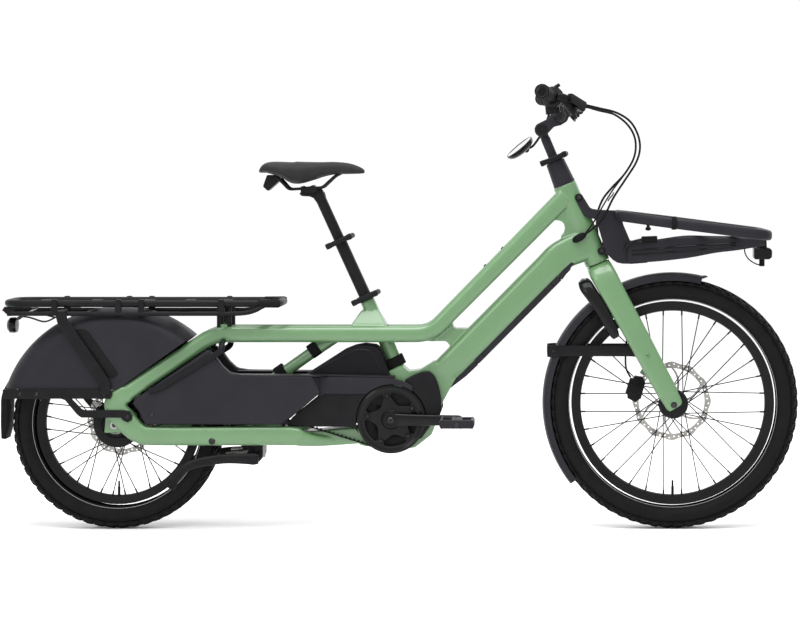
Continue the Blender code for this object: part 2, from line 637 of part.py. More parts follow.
# ---------------------------------------------------------------- fork and steering
def make_fork():
    """Steerer, crown and both blades."""
    ahead = STEER_FORWARD
    right = [(Vector((0.6990, -0.0610, 0.3110)), 0.0190, 0.0100),
             (Vector((0.6920, -0.0610, 0.3250)), 0.0245, 0.0105),
             (Vector((0.6800, -0.0605, 0.3450)), 0.0250, 0.0110),
             (Vector((0.6250, -0.0580, 0.4470)), 0.0270, 0.0120),
             (Vector((0.5480, -0.0540, 0.5900)), 0.0300, 0.0120),
             (Vector((0.5220, -0.0520, 0.6340)), 0.0310, 0.0130),
             (steer(-0.0170, 0.0, -0.0380), 0.0310, 0.0160)]
    left = [(Vector((point.x, -point.y, point.z)), depth, width)
            for point, depth, width in reversed(right)]
    fork = make("fork", loft(right + left, ahead, 12, 3.0), "green_paint", HEAD_BASE)
    bore_floor, top = 0.120, HEAD_LENGTH + 0.012
    shell = [(0.0, -0.012), (STEERER_RADIUS, -0.012), (STEERER_RADIUS, top), (0.0127, top),
             (0.0127, bore_floor), (0.0, bore_floor)]
    steerer = make("steerer", spun(shell, HEAD_BASE, STEER_UP, STEER_FORWARD, 18), None)
    hole = make("hole", cylinder(FRONT_AXLE, Y_AXIS, AXLE_RADIUS + GAP, -0.10, 0.10, 16), None)
    return cut(union(fork, steerer), hole)


def make_stem_riser():
    """Tapered spacer stack over the steerer, with the clamp collar for the stem post."""
    low = HEAD_LENGTH + GAP
    top = low + RISER_LENGTH
    steerer_top = HEAD_LENGTH + 0.0125
    profile = [(STEERER_RADIUS + GAP, low), (0.0280, low), (0.0230, top), (0.0190, top),
               (0.0190, top + 0.002), (0.0215, top + 0.002), (0.0215, top + 0.014),
               (0.0126, top + 0.014), (0.0126, steerer_top), (STEERER_RADIUS + GAP, steerer_top)]
    return make("stem_riser", spun(profile, HEAD_BASE, STEER_UP, STEER_FORWARD, 24),
                "black_metal", HEAD_BASE)


def make_stem_post():
    """Sliding post with the eye of the stem hinge."""
    post = make("stem_post", cylinder(HEAD_BASE, STEER_UP, STEM_POST_RADIUS, 0.185,
                                      STEM_PIVOT_HEIGHT - 0.010), "black_metal", HEAD_BASE)
    pivot = steer(STEM_PIVOT_HEIGHT)
    eye = make("eye", cylinder(pivot, Y_AXIS, 0.0170, -0.0120, 0.0120), None)
    return union(post, eye)


def make_stem_arm():
    """Forked arm from the stem hinge to the handlebar clamp."""
    pivot = steer(STEM_PIVOT_HEIGHT)
    reach = (BAR_CLAMP - pivot).normalized()
    across = Vector((-reach.z, 0.0, reach.x))
    body = [(pivot + reach * 0.0185, 0.0215, 0.0140),
            (BAR_CLAMP - reach * 0.0150, 0.0240, 0.0180),
            (BAR_CLAMP + reach * 0.0230, 0.0240, 0.0180)]
    arm = make("stem_arm", loft(body, count=12, power=3.0), "black_metal", pivot)
    cheeks = []
    for left in (-1, 1):
        low, high = sorted((left * 0.0123, left * 0.0215))
        disc = cylinder(pivot, Y_AXIS, 0.0180, low, high, 16)
        cheeks.append(make("cheek", disc, None))
        link = [pivot + across * 0.0150, pivot - across * 0.0150,
                pivot - across * 0.0130 + reach * 0.0240, pivot + across * 0.0130 + reach * 0.0240]
        cheeks.append(make("link", slab([(p.x, p.z) for p in link], low, high), None))
    eye_room = make("room", cylinder(pivot, Y_AXIS, 0.0174, -0.0123, 0.0123), None)
    bar_hole = make("hole", cylinder(BAR_CLAMP, Y_AXIS, 0.0159 + GAP, -0.05, 0.05), None)
    return cut(union(arm, *cheeks), eye_room, bar_hole)


def bar_path():
    """Centre line of the left half of the handlebar, from the stem outwards."""
    return [Vector((0.4080, 0.000, 1.0490)), Vector((0.4080, 0.040, 1.0490)),
            Vector((0.4060, 0.075, 1.0560)), Vector((0.3985, 0.130, 1.0800)),
            Vector((0.3900, 0.165, 1.0920)), Vector((0.3810, 0.195, 1.0960)),
            Vector((0.3614, BAR_HALF_WIDTH, 1.1027))]


def make_handlebar():
    half = bar_path()
    right = [Vector((p.x, -p.y, p.z)) for p in reversed(half[1:])]
    stations = []
    for point in right + half:
        middle = max(0.0, min(1.0, (0.10 - abs(point.y)) / 0.05))
        radius = 0.0111 + 0.0048 * middle
        stations.append((point, radius, radius))
    return make("handlebar", loft(stations, Z_AXIS, 16), "black_metal", BAR_CLAMP)


def make_grip(name, left):
    """Rubber sleeve on the straight end of the bar."""
    ends = bar_path()[-2:]
    ends = [Vector((p.x, left * p.y, p.z)) for p in ends]
    out = (ends[1] - ends[0]).normalized()
    profile = [(0.0118, 0.0), (0.0118, -GRIP_LENGTH), (0.0170, -GRIP_LENGTH),
               (0.0155, -GRIP_LENGTH * 0.8), (0.0165, -GRIP_LENGTH * 0.45), (0.0180, -0.010),
               (0.0160, 0.0)]
    bm = spun(profile, ends[1], out, Z_AXIS.cross(out).normalized(), 14)
    return make(name, bm, "black_rubber", ends[1])


LEVER_PIVOT = Vector((0.4420, 0.1650, 1.0660))


def make_brake_body(name, left):
    """Handlebar clamp and master cylinder of one brake lever."""
    path = [Vector((p.x, left * p.y, p.z)) for p in bar_path()[-2:]]
    out = (path[1] - path[0]).normalized()
    clamp_at = path[0] + out * 0.0075
    ring = [(0.0115, -0.006), (0.0165, -0.006), (0.0165, 0.006), (0.0115, 0.006)]
    body = make(name, spun(ring, clamp_at, out, Z_AXIS.cross(out).normalized(), 20),
                "black_metal", clamp_at)
    inner = clamp_at + Vector((0.0175, 0.0, -0.0020))
    arm = [(inner, 0.0060, 0.0080), (Vector((0.4180, left * 0.190, 1.0880)), 0.0080, 0.0085),
           (Vector((0.4500, left * 0.150, 1.0830)), 0.0110, 0.0100),
           (Vector((0.4620, left * 0.120, 1.0780)), 0.0100, 0.0090)]
    master = make("master", loft(arm, Z_AXIS, 10, 2.6), None)
    near, far = sorted((left * 0.135, left * 0.215))
    room = box((LEVER_PIVOT.x - 0.032, near, 1.0380), (LEVER_PIVOT.x + 0.048, far, 1.0735))
    return cut(union(body, master), make("room", room, None))


def make_brake_lever(name, left):
    """Lever blade: hub on its pivot under the master cylinder, blade along the grip."""
    pivot = Vector((LEVER_PIVOT.x, left * LEVER_PIVOT.y, LEVER_PIVOT.z))
    blade = [(pivot, 0.0065, 0.0070),
             (Vector((0.4430, left * 0.2000, 1.0600)), 0.0055, 0.0050),
             (Vector((0.4470, left * 0.2500, 1.0500)), 0.0060, 0.0035),
             (Vector((0.4480, left * 0.3050, 1.0450)), 0.0060, 0.0035)]
    return make(name, loft(blade, Z_AXIS, 8, 2.6), "black_metal", pivot)


MIRROR_CLAMP = Vector((0.3858, 0.1790, 1.0939))


def make_mirror():
    """Bar clamp, stalk and round mirror under the left grip."""
    centre = Vector((0.3036, 0.2750, 0.9703))
    slope = radians(39.7)
    face = Vector((-sin(slope), 0.0, cos(slope)))
    edge = Vector((cos(slope), 0.0, sin(slope)))
    back = [(0.0, 0.004), (0.0400, 0.004), (0.0415, 0.0), (0.0390, -0.007), (0.0220, -0.0140),
            (0.0, -0.0160)]
    mirror = make("mirror", spun(back, centre, face, edge, 28), "black_plastic", MIRROR_CLAMP)
    out = (bar_path()[-2] - bar_path()[-3]).normalized()
    ring = [(0.0122, -0.004), (0.0152, -0.004), (0.0152, 0.004), (0.0122, 0.004)]
    clamp = make("clamp", spun(ring, MIRROR_CLAMP, out, Z_AXIS.cross(out).normalized(), 16), None)
    stalk_path = [MIRROR_CLAMP - Z_AXIS * 0.0125, Vector((0.3800, 0.1900, 1.0550)),
                  Vector((0.3650, 0.2300, 1.0150)), Vector((0.3450, 0.2600, 0.9850)),
                  centre - face * 0.012 + edge * 0.015]
    stalk = make("stalk", loft([(p, 0.0035, 0.0035) for p in stalk_path], Z_AXIS, 8), None)
    return union(mirror, clamp, stalk)


def make_lever(name, base, up, forward):
    """Quick-release lever that lies along the right side of its collar."""
    pivot = base + forward * 0.0260 - Y_AXIS * 0.0275
    tip = base - forward * 0.0420 - Y_AXIS * 0.0275
    stations = [(pivot + forward * 0.008, 0.0060, 0.0040), (pivot, 0.0070, 0.0050),
                (base - Y_AXIS * 0.0275, 0.0060, 0.0035), (tip + forward * 0.006, 0.0065, 0.0040),
                (tip, 0.0050, 0.0030)]
    return make(name, loft(stations, up, 10, 3.0), "black_metal", pivot)


def make_front_mudguard():
    """Arched guard round the front tyre with a flat stay on each side."""
    half = [(0.3130, 0.0375), (0.3265, 0.0355), (0.3320, 0.0220)]
    inner = [(0.3295, 0.0210), (0.3245, 0.0330), (0.3130, 0.0350)]
    profile = half + [(radius, -along) for radius, along in reversed(half)]
    profile += [(radius, -along) for radius, along in reversed(inner)] + inner
    begin, sweep = radians(-14.0), radians(-138.0)
    start = Vector((-sin(begin), 0.0, cos(begin)))
    guard = make("front_mudguard", spun(profile, FRONT_AXLE, Y_AXIS, start, 24, sweep),
                 "black_plastic", FRONT_AXLE)
    stays = []
    for left in (-1, 1):
        path = [(0.3960, left * 0.0370, 0.4528), (0.4500, left * 0.0380, 0.4528),
                (0.5900, left * 0.0435, 0.4528), (0.6300, left * 0.0435, 0.4470)]
        bar = loft([(point, 0.0130, 0.0016) for point in path], Z_AXIS, 8, 4.0)
        stays.append(make("stay", bar, None))
    return union(guard, *stays)


# ---------------------------------------------------------------- wheels
def make_tyre(name, axle, radius, bead):
    """Open carcass, seated on the rim at its bead radius."""
    middle = (radius + bead) / 2
    reach = (radius - bead) / 2
    outer = []
    for step in range(9):
        angle = radians(-62 + 304 * step / 8)
        outer.append((middle + reach * sin(angle), TYRE_HALF_WIDTH * cos(angle)))
    wall = 0.0045
    inner = []
    for degrees in (235, 90, -55):
        angle = radians(degrees)
        inner.append((middle + (reach - wall) * sin(angle), (TYRE_HALF_WIDTH - wall) * cos(angle)))
    return make(name, spun(outer + inner, axle), "tyre_rubber", axle)


def make_rim(name, axle, inner_radius, bead):
    """Box rim with a shallow well."""
    profile = [(inner_radius, -0.0090), (inner_radius, 0.0090), (bead - 0.0010, 0.0145),
               (bead - 0.0080, 0.0060), (bead - 0.0080, -0.0060), (bead - 0.0010, -0.0145)]
    return make(name, spun(profile, axle), "black_metal", axle)


def make_hub(name, axle, shell, rim_radius, spokes):
    """Hub shell with its spokes drawn out of the flange edges, none of them crossing."""
    bm = spun(shell, axle, count=spokes)
    flange_radius = max(radius for radius, _ in shell)
    tip_radius = rim_radius * cos(pi / WHEEL_SIDES) - 2 * GAP
    half_spoke = 0.0010
    lean = 0.12                 # angle of each spoke's tip ahead of its root
    flange_faces = []
    for face in bm.faces:
        middle = face.calc_center_median() - axle
        if abs(face.normal.y) < 0.2 and hypot(middle.x, middle.z) > flange_radius * 0.985:
            flange_faces.append(face)
    for face in flange_faces:
        middle = face.calc_center_median() - axle
        near_side = middle.y < 0
        turned = Vector((middle.x, middle.z)).angle_signed(Vector((0.0, 1.0)))
        sector = round(turned * spokes / (2 * pi) - 0.5)
        if (sector + near_side) % 2:
            continue
        out = Vector((middle.x, 0.0, middle.z)).normalized()
        around = Y_AXIS.cross(out)
        swing = lean if near_side else -lean
        tip = axle + (out * cos(swing) + around * sin(swing)) * tip_radius
        bmesh.ops.inset_individual(bm, faces=[face], thickness=0.0006, depth=0.0)
        grown = bmesh.ops.extrude_discrete_faces(bm, faces=[face])["faces"][0]
        centre = grown.calc_center_median()
        for vert in grown.verts:
            offset = vert.co - centre
            high = half_spoke if offset.y > 0 else -half_spoke
            wide = half_spoke if offset.dot(around) > 0 else -half_spoke
            vert.co = tip + Y_AXIS * high + around * wide
    return make(name, bm, "black_metal", axle)


def make_rotor(name, axle, radius, left, bore):
    """Brake disc with an open web of arms."""
    half = 0.0009
    ring = [(radius - 0.0150, left - half), (radius, left - half), (radius, left + half),
            (radius - 0.0150, left + half)]
    rotor = make(name, spun(ring, axle, count=32), "steel", axle)
    carrier = [(bore, left - half), (0.0300, left - half), (0.0300, left + half),
               (bore, left + half)]
    parts = [make("carrier", spun(carrier, axle, count=20), None)]
    for step in range(6):
        angle = 2 * pi * step / 6
        out = Vector((cos(angle), 0.0, sin(angle)))
        around = Y_AXIS.cross(out)
        ends = [out * 0.0270 - around * 0.0050, out * 0.0270 + around * 0.0050,
                out * (radius - 0.0120) + around * 0.0200, out * (radius - 0.0120) + around * 0.0120]
        outline = [(axle.x + p.x, axle.z + p.z) for p in ends]
        parts.append(make("arm", slab(outline, left - half * 0.9, left + half * 0.9), None))
    return union(rotor, *parts)


def make_axle(name, axle, half_length):
    return make(name, cylinder(axle, Y_AXIS, AXLE_RADIUS, -half_length, half_length, 16), "steel",
                axle)


# ---------------------------------------------------------------- drive
def make_right_crank():
    """Belt ring, spider, arm and pedal spindle."""
    outer = FRONT_RING_RADIUS + 0.0070
    low, high = BELT_Y - BELT_HALF_WIDTH - 0.0005, BELT_Y + BELT_HALF_WIDTH + 0.0005
    profile = [(0.0100, high), (FRONT_RING_RADIUS, high), (FRONT_RING_RADIUS, low - 0.0015),
               (outer, low - 0.0015), (outer, low - 0.0045), (0.0100, low - 0.0045)]
    ring = make("right_crank", spun(profile, CRANK_AXIS, count=32), "black_metal", CRANK_AXIS)
    windows = []
    for step in range(5):
        angle = radians(126 + 72 * step)
        middle = CRANK_AXIS + Vector((cos(angle), 0.0, sin(angle))) * 0.0430
        windows.append(make("window", cylinder(middle, Y_AXIS, 0.0165, -0.10, 0.0, 10), None))
    cut(ring, *windows)
    boss = cylinder(CRANK_AXIS, Y_AXIS, 0.0180, -0.0800, low - 0.0010, 20)
    tip = CRANK_AXIS + Vector((CRANK_LENGTH, 0.0, 0.0))
    arm = [(CRANK_AXIS + Vector((-0.0100, -0.0720, 0)), 0.0070, 0.0170),
           (CRANK_AXIS + Vector((0.0300, -0.0730, 0)), 0.0070, 0.0160),
           (tip + Vector((-0.0500, -0.0790, 0)), 0.0065, 0.0140),
           (tip + Vector((0.0130, -0.0800, 0)), 0.0065, 0.0120)]
    spindle = cylinder(tip, Y_AXIS, SPINDLE_RADIUS, -0.1880, -0.0780, 12)
    return union(ring, make("boss", boss, None), make("arm", loft(arm, count=8, power=3.0), None),
                 make("spindle", spindle, None))


def make_left_crank():
    """Left arm, crank spindle through the motor, and pedal spindle."""
    tip = CRANK_AXIS - Vector((CRANK_LENGTH, 0.0, 0.0))
    arm = [(CRANK_AXIS + Vector((0.0180, 0.0720, 0)), 0.0070, 0.0150),
           (CRANK_AXIS + Vector((-0.0300, 0.0730, 0)), 0.0070, 0.0160),
           (tip + Vector((0.0500, 0.0790, 0)), 0.0065, 0.0140),
           (tip + Vector((-0.0130, 0.0800, 0)), 0.0065, 0.0120)]
    crank = make("left_crank", loft(arm, count=8, power=3.0), "black_metal", CRANK_AXIS)
    shaft = make("shaft", cylinder(CRANK_AXIS, Y_AXIS, 0.0095, -0.0520, 0.0740, 20), None)
    spindle = make("spindle", cylinder(tip, Y_AXIS, SPINDLE_RADIUS, 0.0780, 0.1880, 12), None)
    return union(crank, shaft, spindle)


def make_pedal(name, centre, low, high):
    """Platform pedal turning on the crank's spindle."""
    shape = [(-0.0440, -0.0060), (-0.0380, -0.0120), (0.0380, -0.0120), (0.0440, -0.0060),
             (0.0440, 0.0060), (0.0380, 0.0120), (-0.0380, 0.0120), (-0.0440, 0.0060)]
    outline = [(centre.x + x, centre.z + z) for x, z in shape]
    pedal = make(name, slab(outline, low, high), "black_plastic", centre)
    tools = [make("bore", cylinder(centre, Y_AXIS, SPINDLE_RADIUS + 0.0004, -0.25, 0.25, 12), None)]
    for ahead in (-1, 1):
        x = centre.x + ahead * 0.0240
        tools.append(make("window", box((x - 0.0110, low + 0.012, centre.z - 0.05),
                                        (x + 0.0110, high - 0.012, centre.z + 0.05)), None))
    return cut(pedal, *tools)


def make_sprocket():
    profile = [(0.0190, -0.0405), (REAR_RING_RADIUS, -0.0405), (REAR_RING_RADIUS, -0.0535),
               (0.0190, -0.0535)]
    return make("rear_sprocket", spun(profile, REAR_AXLE, count=28), "steel", REAR_AXLE)


def belt_outline(offset):
    """Belt line round ring and sprocket, its lower run lifted by the idler."""
    outer_face = IDLER_RADIUS + 0.0035
    points = arc((CRANK_AXIS.x, CRANK_AXIS.z), FRONT_RING_RADIUS + offset, 93, -107.5, 18)
    points += arc((IDLER_CENTRE.x, IDLER_CENTRE.z), outer_face - offset, 72.0, 96.0, 2)
    points += arc((REAR_AXLE.x, REAR_AXLE.z), REAR_RING_RADIUS + offset, -83.5, -267, 12)
    return points


def make_belt():
    """Toothed belt as one endless band."""
    bm = bmesh.new()
    inner, outer = belt_outline(0.0005), belt_outline(0.0030)
    low, high = BELT_Y - BELT_HALF_WIDTH, BELT_Y + BELT_HALF_WIDTH
    rings = []
    for (x0, z0), (x1, z1) in zip(inner, outer):
        rings.append([bm.verts.new(point) for point in
                      ((x0, low, z0), (x1, low, z1), (x1, high, z1), (x0, high, z0))])
    skin_rings(bm, rings, closed=True)
    return make("drive_belt", bm, "black_rubber", CRANK_AXIS)


def make_idler():
    profile = [(0.0040, -0.0060), (IDLER_RADIUS, -0.0060), (IDLER_RADIUS, 0.0060),
               (0.0040, 0.0060)]
    return make("belt_idler", spun(profile, IDLER_CENTRE, count=20), "black_plastic", IDLER_CENTRE)


# ---------------------------------------------------------------- seat
LOWER_POST_TOP = 0.3550
UPPER_POST_TOP = 0.4760


def make_lower_post():
    """Outer post of the two-stage seat post, with its clamp collar."""
    bottom = 0.0900
    collar = LOWER_POST_TOP - 0.014
    profile = [(0.0139, bottom), (LOWER_POST_RADIUS, bottom), (LOWER_POST_RADIUS, collar),
               (0.0205, collar), (0.0205, LOWER_POST_TOP), (0.0139, LOWER_POST_TOP)]
    return make("lower_seat_post", spun(profile, SEAT_BASE, SEAT_UP, Y_AXIS, 20), "black_metal",
                SEAT_BASE)


def make_upper_post():
    """Inner post with the saddle cradle on top."""
    post = make("upper_seat_post", cylinder(SEAT_BASE, SEAT_UP, UPPER_POST_RADIUS, 0.2000,
                                            UPPER_POST_TOP), "black_metal", SEAT_BASE)
    head = seat(UPPER_POST_TOP)
    cradle = box((head.x - 0.0220, -0.0290, head.z - 0.0060),
                 (head.x + 0.0220, 0.0290, head.z + 0.0120))
    return union(post, make("cradle", cradle, None), make_saddle_rails(head))


def make_saddle_rails(head):
    """Steel rail loop clamped in the cradle."""
    height = head.z + 0.0110
    corners = [(-0.3050, 0, height + 0.0080), (-0.3050, -0.0400, height + 0.0080),
               (head.x - 0.0350, -0.0220, height), (head.x + 0.0400, -0.0220, height),
               (-0.1350, -0.0150, height + 0.0180), (-0.1350, 0.0150, height + 0.0180),
               (head.x + 0.0400, 0.0220, height), (head.x - 0.0350, 0.0220, height),
               (-0.3050, 0.0400, height + 0.0080), (-0.3050, 0, height + 0.0080)]
    loop = rounded_path(corners, 0.010, 2)[:-1]
    bm = loft([(point, 0.0034, 0.0034) for point in loop], Z_AXIS, 8, 2.0, True)
    return make("rails", bm, None, head)


def make_saddle():
    """Padded shell: wide at the tail, narrow at the nose."""
    stations = [((-0.3560, 0, 0.9140), 0.0620, 0.0050), ((-0.3480, 0, 0.9150), 0.0760, 0.0100),
                ((-0.3100, 0, 0.9160), 0.0830, 0.0130), ((-0.2700, 0, 0.9175), 0.0790, 0.0130),
                ((-0.2300, 0, 0.9200), 0.0580, 0.0110), ((-0.1900, 0, 0.9215), 0.0370, 0.0100),
                ((-0.1400, 0, 0.9205), 0.0250, 0.0100), ((-0.1050, 0, 0.9170), 0.0210, 0.0090),
                ((-0.0930, 0, 0.9130), 0.0150, 0.0060)]
    return make("saddle", loft(stations, count=14, power=2.4), "saddle_skin", (-0.23, 0, 0.92))


# ---------------------------------------------------------------- stand
def make_centre_stand():
    """Two-legged stand on its cross shaft, folded back beside the rear tyre."""
    shaft = make("centre_stand", cylinder(STAND_PIVOT, Y_AXIS, 0.0080, -0.0850, 0.0850, 16),
                 "black_metal", STAND_PIVOT)
    legs = []
    for left in (-1, 1):
        path = [(STAND_PIVOT + Vector((0.010, left * 0.0780, -0.002)), 0.0090, 0.0130),
                (Vector((-0.4689, left * 0.0850, 0.1810)), 0.0090, 0.0120),
                (Vector((-0.5243, left * 0.1000, 0.1690)), 0.0090, 0.0115),
                (Vector((-0.5500, left * 0.1120, 0.1500)), 0.0090, 0.0110),
                (Vector((-0.5660, left * 0.1200, 0.1230)), 0.0120, 0.0120),
                (Vector((-0.5700, left * 0.1220, 0.1150)), 0.0140, 0.0120)]
        legs.append(make("leg", loft(path, count=10, power=2.6), None))
    return union(shaft, *legs)


# ---------------------------------------------------------------- hoses
HOSE_RADIUS = 0.0025
REAR_HOSE = [(0.4650, -0.1130, 1.0760), (0.5050, -0.0950, 1.0670), (0.5500, -0.0750, 1.0560),
             (0.5850, -0.0600, 1.0340), (0.6050, -0.0500, 1.0000), (0.6100, -0.0480, 0.9650),
             (0.6000, -0.0480, 0.9300), (0.5740, -0.0500, 0.8890), (0.5420, -0.0530, 0.8400),
             (0.5170, -0.0540, 0.7900), (0.4910, -0.0550, 0.7670), (0.4700, -0.0500, 0.7480)]
FRONT_HOSE = [(0.4650, 0.1130, 1.0760), (0.5050, 0.0950, 1.0690), (0.5500, 0.0750, 1.0540),
              (0.5850, 0.0600, 1.0250), (0.6020, 0.0500, 0.9880), (0.5990, 0.0480, 0.9450),
              (0.5750, 0.0500, 0.9020), (0.5420, 0.0540, 0.8660), (0.5170, 0.0600, 0.8330),
              (0.5040, 0.0660, 0.7900), (0.5080, 0.0720, 0.7300), (0.5270, 0.0770, 0.6700),
              (0.5450, 0.0790, 0.6200)]


def make_hose(name, route):
    """Brake hose: a bevelled curve with filled ends."""
    curve = bpy.data.curves.new(name, "CURVE")
    curve.dimensions = "3D"
    curve.bevel_depth = HOSE_RADIUS
    curve.bevel_resolution = 2
    curve.use_fill_caps = True
    points = []
    last = len(route) - 1
    for step in range(last):
        before = Vector(route[max(step - 1, 0)])
        here, ahead = Vector(route[step]), Vector(route[step + 1])
        beyond = Vector(route[min(step + 2, last)])
        for part in range(3):
            t = part / 3
            points.append(0.5 * (2 * here + (ahead - before) * t
                                 + (2 * before - 5 * here + 4 * ahead - beyond) * t ** 2
                                 + (3 * here - before - 3 * ahead + beyond) * t ** 3))
    points.append(Vector(route[-1]))
    line = curve.splines.new("POLY")
    line.points.add(len(points) - 1)
    for slot, point in zip(line.points, points):
        slot.co = (*point, 1.0)
    curve.materials.append(paint("black_rubber"))
    item = bpy.data.objects.new(name, curve)
    bpy.context.collection.objects.link(item)
    return item


# ---------------------------------------------------------------- assembly
def build_frame():
    make_head_tube()
    make_down_tube()
    mirrored(make_side_tube(), "left_side_tube")
    make_seat_tube()
    make_motor_bracket()
    make_motor_unit()
    mirrored(make_chainstay(), "left_chainstay")
    make_centre_strut()
    mirrored(make_skirt(), "left_skirt")
    make_wheel_cover()
    mirrored(make_rack_strut(), "left_rack_strut")
    make_rear_rack()
    make_rear_light()
    make_storage_bag()
    make_front_rack()
    make_front_light()
    make_axle("rear_axle", REAR_AXLE, 0.0800)
    make_belt()


def build_steering():
    ride_on("steering", HEAD_BASE, [make_fork(), make_front_mudguard(), make_stem_riser(),
                                    make_axle("front_axle", FRONT_AXLE, 0.0760)])
    ride_on("stem_slide", HEAD_BASE, [make_stem_post()])
    cockpit = [make_stem_arm(), make_handlebar()]
    cockpit += [make_grip("right_grip", -1), make_grip("left_grip", 1)]
    cockpit += [make_brake_body("right_brake_body", -1), make_brake_body("left_brake_body", 1)]
    ride_on("stem_hinge", steer(STEM_PIVOT_HEIGHT), cockpit)
    make_brake_lever("right_brake_lever", -1)
    make_brake_lever("left_brake_lever", 1)
    make_mirror()
    make_hose("rear_brake_hose", REAR_HOSE)
    make_hose("front_brake_hose", FRONT_HOSE)


def build_wheels():
    front_shell = [(0.0064, -0.0470), (0.0160, -0.0470), (0.0160, -0.0330), (0.0290, -0.0310),
                   (0.0290, -0.0270), (0.0150, -0.0240), (0.0150, 0.0240), (0.0290, 0.0270),
                   (0.0290, 0.0310), (0.0064, 0.0395)]
    front = [make_tyre("front_tyre", FRONT_AXLE, FRONT_RADIUS, 0.2570),
             make_rim("front_rim", FRONT_AXLE, 0.2343, 0.2570),
             make_hub("front_hub", FRONT_AXLE, front_shell, 0.2343, 32),
             make_rotor("front_rotor", FRONT_AXLE, 0.1010, 0.0440, 0.0070)]
    ride_on("front_wheel", FRONT_AXLE, front)
    rear_shell = [(0.0064, -0.0395), (0.0500, -0.0395), (0.0670, -0.0300), (0.0670, -0.0260),
                  (0.0600, 0.0000), (0.0670, 0.0260), (0.0670, 0.0300), (0.0400, 0.0440),
                  (0.0064, 0.0440)]
    rear = [make_tyre("rear_tyre", REAR_AXLE, REAR_RADIUS, 0.2060),
            make_rim("rear_rim", REAR_AXLE, 0.1850, 0.2060),
            make_hub("rear_hub", REAR_AXLE, rear_shell, 0.1850, 36),
            make_rotor("rear_rotor", REAR_AXLE, 0.0900, 0.0500, 0.0070)]
    ride_on("rear_wheel", REAR_AXLE, rear)


def build_drive():
    ride_on("crank", CRANK_AXIS, [make_right_crank(), make_left_crank()])
    reach = Vector((CRANK_LENGTH, 0.0, 0.0))
    inner, outer = 0.0960, 0.1860
    make_pedal("right_pedal", CRANK_AXIS + reach, -outer, -inner)
    make_pedal("left_pedal", CRANK_AXIS - reach, inner, outer)
    make_sprocket()
    make_idler()


def build_seat():
    make_lower_post()
    ride_on("upper_post_slide", SEAT_BASE, [make_upper_post(), make_saddle()])
    make_lever("seat_clamp_lever", seat(SEAT_TUBE_LENGTH - 0.008), SEAT_UP, SEAT_FORWARD)
    make_lever("post_clamp_lever", seat(LOWER_POST_TOP - 0.007), SEAT_UP, SEAT_FORWARD)
    make_lever("stem_clamp_lever", steer(HEAD_LENGTH + RISER_LENGTH + 0.008), STEER_UP,
               STEER_FORWARD)


def main():
    clear_scene()
    build_frame()
    make_battery()
    build_steering()
    build_wheels()
    build_drive()
    build_seat()
    make_centre_stand()


main()
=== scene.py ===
"""Looks of the longtail electric cargo bicycle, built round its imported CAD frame.

Metres, +X forward, +Y to the rider's left, +Z up. The belt side is at -Y.
"""
from math import cos, pi, radians, sin

import bmesh
import bpy
from mathutils import Matrix, Vector


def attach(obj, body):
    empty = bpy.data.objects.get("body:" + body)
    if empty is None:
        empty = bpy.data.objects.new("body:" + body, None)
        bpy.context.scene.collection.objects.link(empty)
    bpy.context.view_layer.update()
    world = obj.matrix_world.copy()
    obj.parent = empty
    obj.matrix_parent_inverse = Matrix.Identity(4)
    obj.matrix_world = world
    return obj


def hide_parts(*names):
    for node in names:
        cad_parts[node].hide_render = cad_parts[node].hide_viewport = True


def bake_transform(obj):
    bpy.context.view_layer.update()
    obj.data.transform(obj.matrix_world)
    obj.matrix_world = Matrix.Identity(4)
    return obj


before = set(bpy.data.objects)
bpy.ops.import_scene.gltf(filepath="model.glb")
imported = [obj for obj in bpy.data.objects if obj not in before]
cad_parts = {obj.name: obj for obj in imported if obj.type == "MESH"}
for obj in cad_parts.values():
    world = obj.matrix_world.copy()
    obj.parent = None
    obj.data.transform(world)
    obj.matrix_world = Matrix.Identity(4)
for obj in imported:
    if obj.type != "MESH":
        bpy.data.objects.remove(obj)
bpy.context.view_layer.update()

# ---------------------------------------------------------------- where things are
# These repeat the main places of the CAD part.
FRONT_AXLE = Vector((0.695, 0.0, 0.3185))
REAR_AXLE = Vector((-0.7165, 0.0, 0.268))
CRANK_AXIS = Vector((-0.0195, 0.0, 0.281))
STAND_PIVOT = Vector((-0.365, 0.0, 0.184))
HEAD_BASE = Vector((0.5044, 0.0, 0.6736))
HEAD_LENGTH = 0.2175
SEAT_BASE = Vector((-0.008, 0.0, 0.414))
BAR_CLAMP = Vector((0.408, 0.0, 1.049))
DOWN_TUBE_TOP = Vector((0.4366, 0.0, 0.7231))
DOWN_TUBE_END = Vector((0.115, 0.0, 0.398))
RAIL_Y = 0.038
RAIL_HEIGHT = 0.4951
STAY_Y = 0.074
BELT_Y = -0.047
IDLER = Vector((-0.2834, BELT_Y, 0.2645))
RING_RADIUS = 0.0785          # belt ring on the crank
SPROCKET_RADIUS = 0.0333
TOOTH_DEPTH = 0.0022
TYRE_SIDE = 0.0318            # half of the tyres' width
MOTOR_RADIUS = 0.089
STAND_BORE = 0.0086

X_AXIS = Vector((1.0, 0.0, 0.0))
Y_AXIS = Vector((0.0, 1.0, 0.0))
Z_AXIS = Vector((0.0, 0.0, 1.0))
HEAD_LEAN = radians(22.8)
SEAT_LEAN = radians(24.6)
STEER_UP = Vector((-sin(HEAD_LEAN), 0.0, cos(HEAD_LEAN)))
STEER_FORWARD = Vector((cos(HEAD_LEAN), 0.0, sin(HEAD_LEAN)))
SEAT_UP = Vector((-sin(SEAT_LEAN), 0.0, cos(SEAT_LEAN)))
SEAT_FORWARD = Vector((cos(SEAT_LEAN), 0.0, sin(SEAT_LEAN)))
TUBE_ALONG = (DOWN_TUBE_TOP - DOWN_TUBE_END).normalized()
TUBE_DOWN = Vector((TUBE_ALONG.z, 0.0, -TUBE_ALONG.x))


